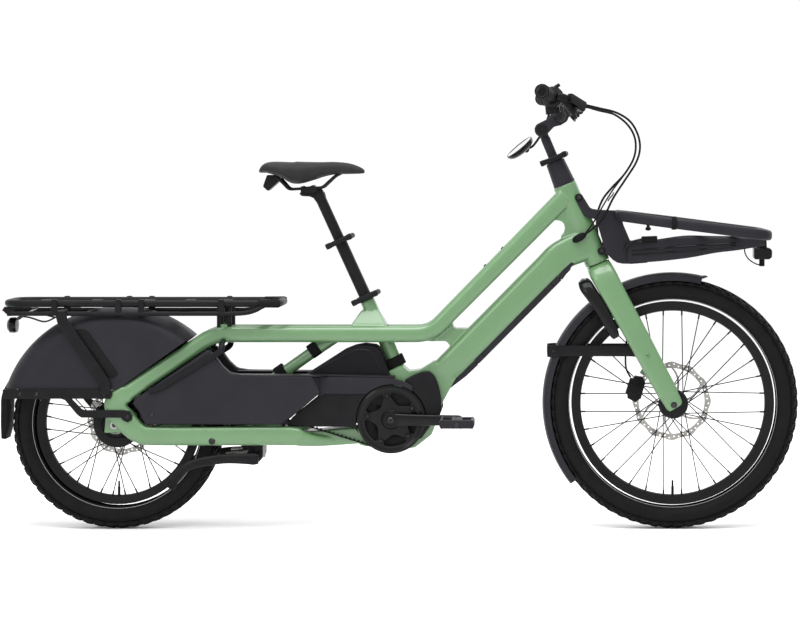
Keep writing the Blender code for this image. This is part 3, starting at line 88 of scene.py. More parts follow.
def steer(height, forward=0.0):
    """Point measured along the steering axis from the foot of the head tube."""
    return HEAD_BASE + STEER_UP * height + STEER_FORWARD * forward


def seat(height):
    """Point measured along the seat tube's axis."""
    return SEAT_BASE + SEAT_UP * height


def tube_point(along, down):
    """Point measured up the down tube's axis and square to it."""
    return DOWN_TUBE_END + TUBE_ALONG * along + TUBE_DOWN * down


# ---------------------------------------------------------------- materials
def new_material(name, base, rough, metallic=0.0, coat=0.0):
    """Principled material; the dark ones get a weak reflection, as in soft light."""
    material = bpy.data.materials.new(name)
    material.use_nodes = True
    shader = material.node_tree.nodes["Principled BSDF"]
    shader.inputs["Base Color"].default_value = (*base, 1.0)
    shader.inputs["Roughness"].default_value = rough
    shader.inputs["Metallic"].default_value = metallic
    shader.inputs["Coat Weight"].default_value = coat
    shader.inputs["Coat Roughness"].default_value = 0.08
    if max(base) < 0.05:
        shader.inputs["Specular IOR Level"].default_value = 0.1
    return material


def vary(material, base, spread, scale, rough, rough_spread, bump, bump_scale):
    """Mottled colour and gloss, and a fine grain, from noise in object space."""
    tree = material.node_tree
    shader = tree.nodes["Principled BSDF"]
    place = tree.nodes.new("ShaderNodeTexCoord")
    broad = tree.nodes.new("ShaderNodeTexNoise")
    broad.inputs["Scale"].default_value = scale
    broad.inputs["Detail"].default_value = 6.0
    tree.links.new(place.outputs["Object"], broad.inputs["Vector"])
    colours = tree.nodes.new("ShaderNodeValToRGB")
    low, high = colours.color_ramp.elements
    low.position, high.position = 0.3, 0.7
    low.color = (*[channel * (1 - spread) for channel in base], 1.0)
    high.color = (*[min(1.0, channel * (1 + spread)) for channel in base], 1.0)
    tree.links.new(broad.outputs["Fac"], colours.inputs["Fac"])
    tree.links.new(colours.outputs["Color"], shader.inputs["Base Color"])
    gloss = tree.nodes.new("ShaderNodeMapRange")
    gloss.inputs["To Min"].default_value = rough - rough_spread
    gloss.inputs["To Max"].default_value = rough + rough_spread
    tree.links.new(broad.outputs["Fac"], gloss.inputs["Value"])
    tree.links.new(gloss.outputs["Result"], shader.inputs["Roughness"])
    fine = tree.nodes.new("ShaderNodeTexNoise")
    fine.inputs["Scale"].default_value = bump_scale
    fine.inputs["Detail"].default_value = 3.0
    tree.links.new(place.outputs["Object"], fine.inputs["Vector"])
    relief = tree.nodes.new("ShaderNodeBump")
    relief.inputs["Strength"].default_value = bump
    relief.inputs["Distance"].default_value = 0.0006
    tree.links.new(fine.outputs["Fac"], relief.inputs["Height"])
    tree.links.new(relief.outputs["Normal"], shader.inputs["Normal"])
    return material


def woven(name, base, scale):
    """Fabric: two crossed sets of threads raised by bump, with painted shade between the threads
    and a painted highlight on their tops.
    """
    material = new_material(name, base, 0.85)
    tree = material.node_tree
    shader = tree.nodes["Principled BSDF"]
    place = tree.nodes.new("ShaderNodeTexCoord")
    heights = []
    for direction in ("X", "Z"):
        threads = tree.nodes.new("ShaderNodeTexWave")
        threads.bands_direction = direction
        threads.inputs["Scale"].default_value = scale
        threads.inputs["Distortion"].default_value = 0.4
        tree.links.new(place.outputs["Object"], threads.inputs["Vector"])
        heights.append(threads)
    both = tree.nodes.new("ShaderNodeMath")
    both.operation = "MAXIMUM"
    tree.links.new(heights[0].outputs["Fac"], both.inputs[0])
    tree.links.new(heights[1].outputs["Fac"], both.inputs[1])
    relief = tree.nodes.new("ShaderNodeBump")
    relief.inputs["Strength"].default_value = 0.6
    relief.inputs["Distance"].default_value = 0.0005
    tree.links.new(both.outputs["Value"], relief.inputs["Height"])
    tree.links.new(relief.outputs["Normal"], shader.inputs["Normal"])
    # Painted shade and highlight: the colour follows the thread heights, darkest in the gaps
    # between threads and lightest on their tops.
    colours = tree.nodes.new("ShaderNodeValToRGB")
    colours.color_ramp.elements[0].color = (*[c * 0.6 for c in base], 1.0)
    colours.color_ramp.elements[1].color = (*[c * 1.5 for c in base], 1.0)
    tree.links.new(both.outputs["Value"], colours.inputs["Fac"])
    tree.links.new(colours.outputs["Color"], shader.inputs["Base Color"])
    return material


GREEN = (0.087, 0.18, 0.077)
MATERIALS = {}
for title, base, rough, metallic, coat, spread, scale, rough_spread, bump, bump_scale in (
        ("green_paint", GREEN, 0.34, 0.0, 0.45, 0.045, 9, 0.05, 0.1, 900),
        ("black_paint", (0.007, 0.007, 0.0078), 0.38, 0.0, 0.0, 0.2, 30, 0.08, 0.25, 2200),
        ("black_gloss", (0.0045, 0.0045, 0.005), 0.24, 0.0, 0.12, 0.15, 30, 0.05, 0.06, 900),
        ("charcoal", (0.016, 0.0152, 0.0186), 0.42, 0.0, 0.0, 0.1, 14, 0.06, 0.3, 2600),
        ("rubber", (0.0048, 0.0048, 0.0052), 0.7, 0.0, 0.0, 0.2, 60, 0.1, 0.5, 1500),
        ("tyre_rubber", (0.0048, 0.0045, 0.0048), 0.62, 0.0, 0.0, 0.3, 45, 0.12, 0.6, 1100),
        ("stripe", (0.21, 0.21, 0.205), 0.6, 0.0, 0.0, 0.12, 200, 0.08, 0.3, 2500),
        ("steel", (0.3, 0.29, 0.275), 0.3, 1.0, 0.0, 0.12, 90, 0.1, 0.35, 1800),
        ("dark_steel", (0.045, 0.044, 0.043), 0.36, 1.0, 0.0, 0.25, 80, 0.08, 0.3, 1800),
        ("saddle_skin", (0.019, 0.019, 0.02), 0.55, 0.0, 0.0, 0.15, 40, 0.08, 0.55, 1300),
        ("red_lens", (0.33, 0.008, 0.01), 0.14, 0.0, 0.5, 0.25, 160, 0.04, 0.3, 700),
        ("clear_lens", (0.7, 0.72, 0.74), 0.12, 0.2, 0.5, 0.1, 160, 0.04, 0.4, 500),
        ("mirror_glass", (0.86, 0.87, 0.88), 0.03, 1.0, 0.0, 0.03, 20, 0.01, 0.02, 60)):
    made = new_material(title, base, rough, metallic, coat)
    MATERIALS[title] = vary(made, base, spread, scale, rough, rough_spread, bump, bump_scale)
MATERIALS["bag_fabric"] = woven("bag_fabric", (0.006, 0.006, 0.007), 420)
MATERIALS["strap"] = woven("strap", (0.0055, 0.0055, 0.006), 700)


# ---------------------------------------------------------------- mesh helpers
def add_object(name, data):
    """New object in the scene."""
    item = bpy.data.objects.new(name, data)
    bpy.context.collection.objects.link(item)
    return item


def smooth_mesh(name, bm):
    """Clean a bmesh and turn it into a smooth-shaded mesh."""
    bmesh.ops.remove_doubles(bm, verts=bm.verts, dist=1e-6)
    bmesh.ops.recalc_face_normals(bm, faces=bm.faces)
    mesh = bpy.data.meshes.new(name)
    bm.to_mesh(mesh)
    bm.free()
    mesh.shade_smooth()
    return mesh


def piece(name, bm, material, body, stands_for=(), bevel=0.0, crease=32, segments=3):
    """Turn a bmesh into a piece that rides on a body, with rounded or sharp edges."""
    mesh = smooth_mesh(name, bm)
    item = add_object(name, mesh)
    if bevel:
        soft = item.modifiers.new("rounded", "BEVEL")
        soft.width = bevel
        soft.segments = segments
        soft.limit_method = "ANGLE"
        soft.angle_limit = radians(crease)
        item.modifiers.new("shading", "WEIGHTED_NORMAL")
    else:
        mesh.set_sharp_from_angle(angle=radians(crease))
    if material:
        mesh.materials.append(MATERIALS[material])
        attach(item, body)
    if stands_for:
        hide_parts(*stands_for)
    return item


def baked(item):
    """The mesh of an item with its modifiers applied."""
    bpy.context.view_layer.update()
    graph = bpy.context.evaluated_depsgraph_get()
    return bpy.data.meshes.new_from_object(item.evaluated_get(graph))


def freeze(item):
    """Apply all modifiers of an item."""
    item.data = baked(item)
    item.modifiers.clear()


def cut(item, *tools):
    """Take solids out of an item."""
    for tool in tools:
        operand = piece("operand", tool, None, None)
        step = item.modifiers.new("boolean", "BOOLEAN")
        step.operation = "DIFFERENCE"
        step.solver = "EXACT"
        step.object = operand
        freeze(item)
        bpy.data.objects.remove(operand, do_unlink=True)


def reshade(item, crease):
    """Smooth shading with edges above an angle kept sharp, after a cut."""
    item.data.shade_smooth()
    item.data.set_sharp_from_angle(angle=radians(crease))


def weld(item, voxel, rounds):
    """Fuse overlapping solids into one skin with soft joins."""
    fuse = item.modifiers.new("weld", "REMESH")
    fuse.mode = "VOXEL"
    fuse.voxel_size = voxel
    soft = item.modifiers.new("soft", "SMOOTH")
    soft.factor = 0.5
    soft.iterations = rounds
    freeze(item)


def repaint(item, crease, material):
    """Shade a welded item and leave it with one material."""
    reshade(item, crease)
    item.data.materials.clear()
    item.data.materials.append(MATERIALS[material])


def xz(point):
    """The X and Z of a point, for outlines."""
    return point.x, point.z


def polar(centre, radius, angle):
    """Point of the X-Z plane at a distance and an angle from a centre."""
    return centre[0] + radius * cos(angle), centre[1] + radius * sin(angle)


def sides(left, near, far):
    """Low and high y of a layer between two distances on the left (1) or right (-1)."""
    return sorted((left * near, left * far))


def sided(rows, left):
    """Rows of (x, y, z, ...) with y taken to the left (1) or right (-1)."""
    return [(row[0], left * row[1], *row[2:]) for row in rows]


def flip(bm):
    """Mirror a bmesh across the middle plane."""
    bmesh.ops.transform(bm, matrix=Matrix.Scale(-1.0, 4, Y_AXIS), verts=bm.verts)
    bmesh.ops.reverse_faces(bm, faces=bm.faces)
    return bm


def merge(target, *others):
    """Put the geometry of other bmeshes into the first, as it is."""
    for other in others:
        mesh = bpy.data.meshes.new("part")
        other.to_mesh(mesh)
        other.free()
        target.from_mesh(mesh)
        bpy.data.meshes.remove(mesh)
    return target


def ring_of(bm, centre, side, up, half_side, half_up, count, power):
    """Ring of vertices; power 2 is an ellipse, and more is squarer."""
    verts = []
    for step in range(count):
        angle = 2 * pi * (step + 0.5) / count
        across, rise = cos(angle), sin(angle)
        stretch = (abs(across) ** power + abs(rise) ** power) ** (-1.0 / power)
        point = centre + side * (half_side * across * stretch) + up * (half_up * rise * stretch)
        verts.append(bm.verts.new(point))
    return verts


def skin(bm, rings, closed=False):
    """Faces between neighbouring rings, with ends unless the rings close."""
    count = len(rings[0])
    pairs = list(zip(rings, rings[1:]))
    if closed:
        pairs.append((rings[-1], rings[0]))
    for low, high in pairs:
        for step in range(count):
            after = (step + 1) % count
            bm.faces.new((low[step], low[after], high[after], high[step]))
    if not closed:
        bm.faces.new(rings[0])
        bm.faces.new(reversed(rings[-1]))


def loft(stations, side=Y_AXIS, count=32, power=2.0, closed=False):
    """Solid along a path of (point, half size along side, half size across)."""
    bm = bmesh.new()
    points = [Vector(station[0]) for station in stations]
    last = len(points) - 1
    rings = []
    for step, (_, half_side, half_up) in enumerate(stations):
        before = points[step - 1] if closed or step else points[step]
        after = points[(step + 1) % (last + 1)] if closed or step < last else points[step]
        along = (after - before).normalized()
        across = (side - along * side.dot(along)).normalized()
        rings.append(ring_of(bm, points[step], across, along.cross(across),
                             half_side, half_up, count, power))
    skin(bm, rings, closed)
    return bm


def smooth_points(points, steps=6, closed=False):
    """Catmull-Rom curve through the points; each point may carry sizes after its x, y, z."""
    rows = [tuple(point) for point in points]
    last = len(rows) - 1
    made = []
    for step in range(len(rows) if closed else last):
        if closed:
            near = [rows[(step + shift) % len(rows)] for shift in (-1, 0, 1, 2)]
        else:
            near = [rows[min(max(step + shift, 0), last)] for shift in (-1, 0, 1, 2)]
        for part in range(steps):
            t = part / steps
            made.append(tuple(
                0.5 * (2 * b + (c - a) * t + (2 * a - 5 * b + 4 * c - d) * t ** 2
                       + (3 * b - a - 3 * c + d) * t ** 3)
                for a, b, c, d in zip(*near)))
    if not closed:
        made.append(rows[-1])
    return made


def swept(rows, steps=6, side=Y_AXIS, count=32, power=2.0, closed=False):
    """Loft through rows of (x, y, z, half size along side, half size across)."""
    curve = smooth_points(rows, steps, closed)
    return loft([(row[:3], row[3], row[4]) for row in curve], side, count, power, closed)


def tube(points, radius, steps=6, count=16, side=Y_AXIS):
    """Round cord of one radius along a smooth curve."""
    return swept([(*point, radius, radius) for point in points], steps, side, count)


def bent(corners, radius, steps=6):
    """Corner points with each inner corner replaced by a short curve."""
    corners = [Vector(corner) for corner in corners]
    points = [corners[0]]
    for before, corner, after in zip(corners, corners[1:], corners[2:]):
        start = corner + (before - corner).normalized() * radius
        end = corner + (after - corner).normalized() * radius
        for step in range(steps + 1):
            t = step / steps
            points.append(start * (1 - t) ** 2 + corner * (2 * t * (1 - t)) + end * t ** 2)
    points.append(corners[-1])
    return points


def pipe(corners, bend, radius, side=Y_AXIS, count=16, power=2.0, flat=None, closed=False):
    """Bar of constant section along bent corners; flat is the other half size."""
    path = bent(corners, bend)
    if closed:
        path = path[:-1]
    across = flat if flat else radius
    return loft([(point, radius, across) for point in path], side, count, power, closed)


def spun(profile, centre, axis=Y_AXIS, start=-Z_AXIS, count=64, sweep=2 * pi):
    """Solid of revolution of a closed loop of (radius, distance along the axis)."""
    bm = bmesh.new()
    other = axis.cross(start)
    full = abs(abs(sweep) - 2 * pi) < 1e-6
    rings = []
    for step in range(count if full else count + 1):
        angle = sweep * step / count
        out = start * cos(angle) + other * sin(angle)
        rings.append([bm.verts.new(centre + out * radius + axis * along)
                      for radius, along in profile])
    skin(bm, rings, closed=full)
    bmesh.ops.remove_doubles(bm, verts=bm.verts, dist=1e-7)
    bmesh.ops.dissolve_degenerate(bm, edges=bm.edges, dist=1e-7)
    return bm


def bar(centre, axis, radius, low, high, count=32):
    """Cylinder between two distances along an axis."""
    bm = bmesh.new()
    side = axis.orthogonal().normalized()
    up = axis.cross(side)
    skin(bm, [ring_of(bm, centre + axis * along, side, up, radius, radius, count, 2.0)
              for along in (low, high)])
    return bm


def slab(outline, low, high):
    """Outline of (x, z) points made solid between two y values."""
    bm = bmesh.new()
    skin(bm, [[bm.verts.new((x, y, z)) for x, z in outline] for y in (low, high)])
    return bm


def block(low, high):
    """Box between two corners."""
    return slab([(low[0], low[2]), (high[0], low[2]), (high[0], high[2]), (low[0], high[2])],
                low[1], high[1])


def arc(centre, radius, start, end, steps):
    """Points on an arc in the X-Z plane, with its angles in degrees."""
    return [polar(centre, radius, radians(start + (end - start) * step / steps))
            for step in range(steps + 1)]


def toothed(centre, radius, teeth):
    """Outline of a belt wheel, four points to a tooth."""
    return [polar(centre, radius - (TOOTH_DEPTH if k % 4 in (1, 2) else 0.0),
                  2 * pi * k / (teeth * 4)) for k in range(teeth * 4)]


def plate(outlines, low, high):
    """Flat plate in the X-Z plane with holes: the first outline is the edge."""
    curve = bpy.data.curves.new("plate", "CURVE")
    curve.dimensions = "2D"
    curve.fill_mode = "BOTH"
    curve.extrude = (high - low) / 2
    for outline in outlines:
        line = curve.splines.new("POLY")
        line.points.add(len(outline) - 1)
        for slot, (x, z) in zip(line.points, outline):
            slot.co = (x, z, 0.0, 1.0)
        line.use_cyclic_u = True
    item = add_object("plate", curve)
    mesh = baked(item)
    bpy.data.objects.remove(item, do_unlink=True)
    mesh.transform(Matrix.Rotation(pi / 2, 4, "X"))
    mesh.transform(Matrix.Translation((0.0, (low + high) / 2, 0.0)))
    bm = bmesh.new()
    bm.from_mesh(mesh)
    bmesh.ops.remove_doubles(bm, verts=bm.verts, dist=1e-6)
    bpy.data.meshes.remove(mesh)
    return bm


def both_sides(name, make, *details, stands_for=(), **options):
    """Make a right-hand piece and its mirror image."""
    for side in ("right", "left"):
        bm = make() if side == "right" else flip(make())
        stands = tuple(node.replace("right", side) for node in stands_for)
        piece(side + "_" + name, bm, *details, stands_for=stands, **options)


def screw(name, place, axis, radius, body, material="dark_steel", height=0.003):
    """Button-head screw with a hexagon socket, its head standing along the axis."""
    socket = radius * 0.45
    profile = [(0.0, -0.004), (radius, -0.004), (radius, height * 0.3),
               (radius * 0.72, height), (socket, height), (socket * 0.95, height * 0.1),
               (0.0, height * 0.1)]
    bm = spun(profile, Vector(place), Vector(axis), Vector(axis).orthogonal().normalized(), 24)
    piece(name, bm, material, body)


# ---------------------------------------------------------------- green frame
def side_tube():
    """Top tube, rail and seat stay in one bent tube."""
    head = steer(0.189, -0.01)
    corners = [(head.x, -0.0165, head.z), (0.0775, -RAIL_Y, RAIL_HEIGHT),
               (-0.47, -RAIL_Y, RAIL_HEIGHT), (-0.7, -STAY_Y, 0.339)]
    stations = []
    for point in bent(corners, 0.034, 10):
        near_head = max(0.0, min(1.0, (point.x - 0.14) / 0.25))
        to_stay = max(0.0, min(1.0, (-0.5 - point.x) / 0.15))
        stations.append((point, 0.0175 - 0.0005 * near_head,
                         0.0205 + 0.0032 * near_head + 0.001 * to_stay))
    return loft(stations, count=48, power=2.7)


def down_tube():
    """Tall squarish tube that blends into the head tube."""
    into_head = steer(0.055, -0.004)
    rows = [(*tube_point(-0.004, 0.0), 0.037, 0.0365), (*tube_point(0.05, 0.0), 0.042, 0.0365),
            (*tube_point(0.2, 0.0), 0.042, 0.0365), (*tube_point(0.36, 0.0), 0.0415, 0.0365),
            (*tube_point(0.42, 0.003), 0.037, 0.038), (*into_head, 0.03, 0.04)]
    return swept(rows, 6, count=48, power=4.5)


def seat_gusset():
    """Pyramid foot of the seat tube."""
    bm = bmesh.new()
    rings = []
    for height, rear, front, wide in ((0.514, -0.126, -0.032, 0.04),
                                      (0.522, -0.12, -0.036, 0.037),
                                      (0.554, -0.098, -0.054, 0.018)):
        rings.append([bm.verts.new((x, y, height)) for x, y in
                      ((rear, -wide), (front, -wide), (front, wide), (rear, wide))])
    skin(bm, rings)
    return bm


BRACKET = [(-0.029, 0.4), (0.007, 0.416), (0.024, 0.4), (0.052, 0.404),
           (0.087, 0.4255), (0.144, 0.383), (0.129, 0.356), (0.108, 0.318),
           (0.1, 0.285), (0.082, 0.24), (0.04, 0.207), (-0.02, 0.199),
           (-0.07, 0.208), (-0.1, 0.213), (-0.1, 0.26), (-0.078, 0.3),
           (-0.03, 0.33), (-0.012, 0.372)]


def chainstay():
    """Drop-out, stay and the bend in to the motor bracket."""
    rows = [(-0.685, -0.074, 0.35, 0.016, 0.024), (-0.715, -0.074, 0.328, 0.016, 0.025),
            (-0.708, -0.074, 0.305, 0.016, 0.027), (-0.684, -0.074, 0.275, 0.016, 0.028),
            (-0.653, -0.074, 0.248, 0.016, 0.025), (-0.61, -0.074, 0.2413, 0.016, 0.0238),
            (-0.43, -0.074, 0.2413, 0.016, 0.0238), (-0.275, -0.073, 0.241, 0.016, 0.0238),
            (-0.248, -0.0675, 0.235, 0.0155, 0.02), (-0.215, -0.048, 0.227, 0.0145, 0.0145),
            (-0.175, -0.027, 0.225, 0.013, 0.0135), (-0.09, -0.02, 0.2365, 0.013, 0.0195)]
    return swept(rows, 5, count=40, power=3.4)


def mirror_copy(bm):
    """Mirror image of a bmesh, with the first one kept."""
    return flip(bm.copy())


def build_green_frame():
    """All welded tubes as one skin with soft weld lines, then the machined openings."""
    tube_right, stay_right = side_tube(), chainstay()
    hub_plate = slab([(-0.743, 0.248), (-0.65, 0.248), (-0.66, 0.295), (-0.695, 0.325),
                      (-0.736, 0.32)], -0.07, -0.0605)
    web = [(0.396, 0.784), (0.409, 0.782), (0.4175, 0.7755), (0.4205, 0.764),
           (0.418, 0.752), (0.409, 0.742), (0.44, 0.72), (0.47, 0.75),
           (0.45, 0.815), (0.42, 0.815)]
    link = [(0.06, 0.4765), (0.119, 0.4765), (0.128, 0.465), (0.178, 0.505),
            (0.17, 0.5085), (0.142, 0.5085), (0.1355, 0.514), (0.135, 0.524),
            (0.08, 0.51)]
    strut = [((-0.15, 0, 0.494), 0.0202, 0.014), ((-0.195, 0, 0.465), 0.018, 0.015),
             ((-0.23, 0, 0.442), 0.016, 0.015), ((-0.375, 0, 0.34), 0.016, 0.015),
             ((-0.396, 0, 0.308), 0.016, 0.015), ((-0.398, 0, 0.244), 0.016, 0.014)]
    parts = [tube_right, mirror_copy(tube_right), stay_right, mirror_copy(stay_right),
             hub_plate, mirror_copy(hub_plate), down_tube(), seat_gusset(),
             bar(HEAD_BASE, STEER_UP, 0.0305, 0.0, HEAD_LENGTH, 64),
             bar(HEAD_BASE, STEER_UP, 0.0318, 0.0, 0.012, 64),
             bar(SEAT_BASE, SEAT_UP, 0.0185, -0.022, 0.1825, 48),
             slab(BRACKET, -0.036, 0.036), slab(web, -0.022, 0.022),
             slab([(-0.25, 0.247), (-0.09, 0.26), (-0.09, 0.22), (-0.24, 0.233)],
                  -0.038, 0.038),
             slab(link, -0.03, 0.03), loft(strut, count=32, power=2.8),
             bar(Vector((-0.398, 0, 0.2413)), Y_AXIS, 0.015, -0.062, 0.062, 32)]
    shell = piece("green_frame", merge(bmesh.new(), *parts), "green_paint", "frame")
    weld(shell, 0.0024, 5)
    bay = [tube_point(along, down) for along, down in
           ((0.0745, 0.0), (0.3755, 0.0), (0.3755, 0.08), (0.0745, 0.08))]
    motor = [(0.0112, 0.3715), (0.071, 0.3805), (0.0865, 0.3485), (0.0895, 0.31),
             (0.0835, 0.2655), (0.0565, 0.2318), (0.01, 0.2125), (-0.0405, 0.2125),
             (-0.0735, 0.226), (-0.0805, 0.256), (-0.061, 0.294), (-0.0145, 0.3195)]
    cut(shell, slab([xz(point) for point in bay], -0.0358, 0.0358), slab(motor, -0.08, 0.08),
        bar(SEAT_BASE, SEAT_UP, 0.016, 0.03, 0.3, 32),
        bar(HEAD_BASE, STEER_UP, 0.0248, -0.05, 0.3, 48),
        bar(STAND_PIVOT, Y_AXIS, STAND_BORE, -0.1, 0.1, 24))
    repaint(shell, 40, "green_paint")
    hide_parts("head_tube", "down_tube", "right_side_tube", "left_side_tube", "seat_tube",
                "motor_bracket", "right_chainstay", "left_chainstay", "centre_strut")
    bracket = [(-0.408, 0.23), (-0.388, 0.19), (-0.378, 0.172), (-0.354, 0.172),
               (-0.345, 0.186), (-0.345, 0.213), (-0.38, 0.228)]
    holder = piece("stand_bracket", slab(bracket, -0.048, 0.048), "black_paint", "frame",
                   bevel=0.002)
    freeze(holder)
    cut(holder, bar(STAND_PIVOT, Y_AXIS, STAND_BORE, -0.1, 0.1, 24))


def build_frame_trim():
    """Bolts, studs, grommets and straps on the frame."""
    for place in (Vector((0.264, 0.0, 0.709)), Vector((0.22, 0.0, 0.6645))):
        up = Vector((-0.7071, 0.0, 0.7071))
        stud = spun([(0.0, -0.01), (0.0045, -0.01), (0.0045, 0.005), (0.0035, 0.007),
                     (0.0, 0.007)], place, up, Y_AXIS, 16)
        piece("stud", stud, "black_paint", "frame")
        piece("stud_bridge", bar(place - up * 0.012, Y_AXIS, 0.007, -0.03, 0.03, 20),
              "green_paint", "frame")
    collar = [(0.0187, 0.1815), (0.023, 0.1825), (0.0232, 0.197), (0.0187, 0.1978)]
    piece("seat_collar", spun(collar, SEAT_BASE, SEAT_UP, Y_AXIS, 48), "black_paint", "frame",
          bevel=0.0012)
    port = [(0.444, -0.033, 0.733, 0.006, 0.006), (0.449, -0.039, 0.736, 0.008, 0.009),
            (0.459, -0.04, 0.7415, 0.008, 0.0095), (0.468, -0.037, 0.746, 0.006, 0.007),
            (0.472, -0.034, 0.748, 0.0035, 0.0035)]
    piece("hose_port", swept(port, 5, count=20, power=2.4), "rubber", "frame")
    for side, left in (("right", -1), ("left", 1)):
        screw("stay_bolt_" + side, (-0.468, left * 0.0895, 0.229), Y_AXIS * left, 0.0085, "frame")
    for x, z, tilt, reach in ((-0.303, 0.396, 35.0, 0.019), (-0.218, 0.454, 35.0, 0.019),
                              (-0.0125, 0.4225, -65.0, 0.025)):
        along = Vector((cos(radians(tilt)), 0.0, sin(radians(tilt))))
        middle = Vector((x, 0.0, z))
        wrap = loft([(middle - along * 0.013, 0.0205, reach),
                     (middle + along * 0.013, 0.0205, reach)], count=24, power=4.0)
        piece("bag_strap", wrap, "strap", "frame", bevel=0.001)


# ---------------------------------------------------------------- covers
def skirt_rear():
    """Wide rear part of the side cover."""
    outline = [(-0.637, 0.271), (-0.65, 0.3), (-0.669, 0.325), (-0.662, 0.3355),
               (-0.6, 0.3775), (-0.5, 0.445), (-0.478, 0.46), (-0.457, 0.438),
               (-0.4427, 0.4185), (-0.4234, 0.401), (-0.395, 0.3968), (-0.215, 0.393),
               (-0.195, 0.351), (-0.27, 0.288), (-0.295, 0.271)]
    return slab(outline, -0.0915, -0.06)


def skirt_front():
    """Band that steps inwards towards the crank and ends in a rounded tip."""
    centre = xz(CRANK_AXIS)
    bm = bmesh.new()
    rings = []
    steps, start_x, length = 26, -0.216, 0.25
    wide, step_in, step_length = -0.0913, 0.0276, 0.026
    for step in range(steps + 1):
        t = step / steps
        x = start_x + t * length
        turn = max(0.0, min(1.0, (x - start_x) / step_length))
        outer = wide + step_in * turn * turn * (3 - 2 * turn)
        top = 0.3905 - 0.0035 * t - 0.02 * max(0.0, (t - 0.72) / 0.28) ** 2
        reach = MOTOR_RADIUS
        over_ring = abs(x - centre[0]) < reach * 0.8
        bottom = 0.346 if x > -0.19 else 0.34 - (x + 0.19) * 0.25
        if over_ring:
            bottom = max(bottom, centre[1] + (reach ** 2 - (x - centre[0]) ** 2) ** 0.5)
        bottom = min(bottom, top - 0.003)
        rings.append([bm.verts.new(point) for point in
                      ((x, -0.06, bottom), (x, outer, bottom), (x, outer, top - 0.002),
                       (x, outer + 0.002, top), (x, -0.06, top))])
    skin(bm, rings)
    return bm


def build_covers():
    """Side covers, foot ledges and rails, and the shield behind the belt ring."""
    shield = slab(arc(xz(CRANK_AXIS), 0.076, 0, 355, 72), -0.0398, -0.0382)
    disc = piece("motor_shield", shield, "black_paint", "frame")
    freeze(disc)
    cut(disc, bar(CRANK_AXIS, Y_AXIS, 0.014, -0.06, -0.02, 32))
    both_sides("skirt_rear", skirt_rear, "charcoal", "frame", stands_for=("right_skirt",),
               bevel=0.006, segments=4)
    both_sides("skirt_front", skirt_front, "charcoal", "frame", bevel=0.0015)

    def wheel_side():
        """Flat side panel in front of the wheel cover."""
        return slab([(-0.512, 0.49), (-0.47, 0.456), (-0.644, 0.333), (-0.688, 0.37)],
                    -0.0445, -0.0425)
    both_sides("cover_side", wheel_side, "black_paint", "frame")

    def ledge():
        """Narrow foot ledge on top of the side cover."""
        return loft([((-0.42, -0.066, 0.3945), 0.025, 0.0022),
                     ((-0.2, -0.066, 0.3932), 0.025, 0.0022),
                     ((-0.18, -0.05, 0.3928), 0.014, 0.0022),
                     ((-0.01, -0.05, 0.389), 0.014, 0.0022)], count=16, power=6.0)
    both_sides("foot_ledge", ledge, "charcoal", "frame")
    for left, side in ((-1, "right"), (1, "left")):
        screw(side + "_skirt_bolt", (-0.62, left * 0.0915, 0.295), Y_AXIS * left, 0.006,
              "frame")
        inner = [(-0.27, 0.286), (-0.195, 0.346), (-0.19, 0.38), (-0.07, 0.38)]
        inner += arc(xz(CRANK_AXIS), 0.0885, 117, 204, 12)
        inner += [(-0.112, 0.26), (-0.13, 0.2625), (-0.285, 0.2625)]
        piece(side + "_skirt_inner", slab(inner, *sides(left, 0.0535, 0.0595)), "black_paint",
              "frame", bevel=0.0015)
        rail = sided([(-0.444, 0.086, 0.476), (-0.442, 0.096, 0.458),
                      (-0.55, 0.096, 0.392), (-0.6, 0.096, 0.362),
                      (-0.626, 0.093, 0.356)], left)
        piece(side + "_foot_rail", pipe(rail, 0.012, 0.0045, count=20, flat=0.0078, power=2.6),
              "black_paint", "frame")
        top = sided([(-0.444, 0.056, 0.478), (-0.444, 0.09, 0.474)], left)
        piece(side + "_foot_rail_stub", pipe(top, 0.004, 0.007, count=16), "black_paint", "frame")


def wheel_cover_shell():
    """Thin arch round the rear wheel, before its lower and front edges are cut."""
    outer, wall = 0.295, 0.003
    rows = [(0.06, 0.09), (0.09, 0.0898), (0.115, 0.0885), (0.205, 0.087),
            (0.24, 0.088), (0.256, 0.087), (0.268, 0.083), (0.277, 0.076),
            (0.286, 0.064), (0.2915, 0.05), (outer, 0.038)]
    inside = [(max(radius - wall, 0.06), max(along - wall, 0.0)) for radius, along in rows]
    profile = rows + [(radius, -along) for radius, along in reversed(rows)]
    profile += [(radius, -along) for radius, along in inside] + list(reversed(inside))
    begin = radians(112.0)
    start = Vector((-sin(begin), 0.0, cos(begin)))
    return spun(profile, REAR_AXLE, Y_AXIS, start, 110, radians(195.0))


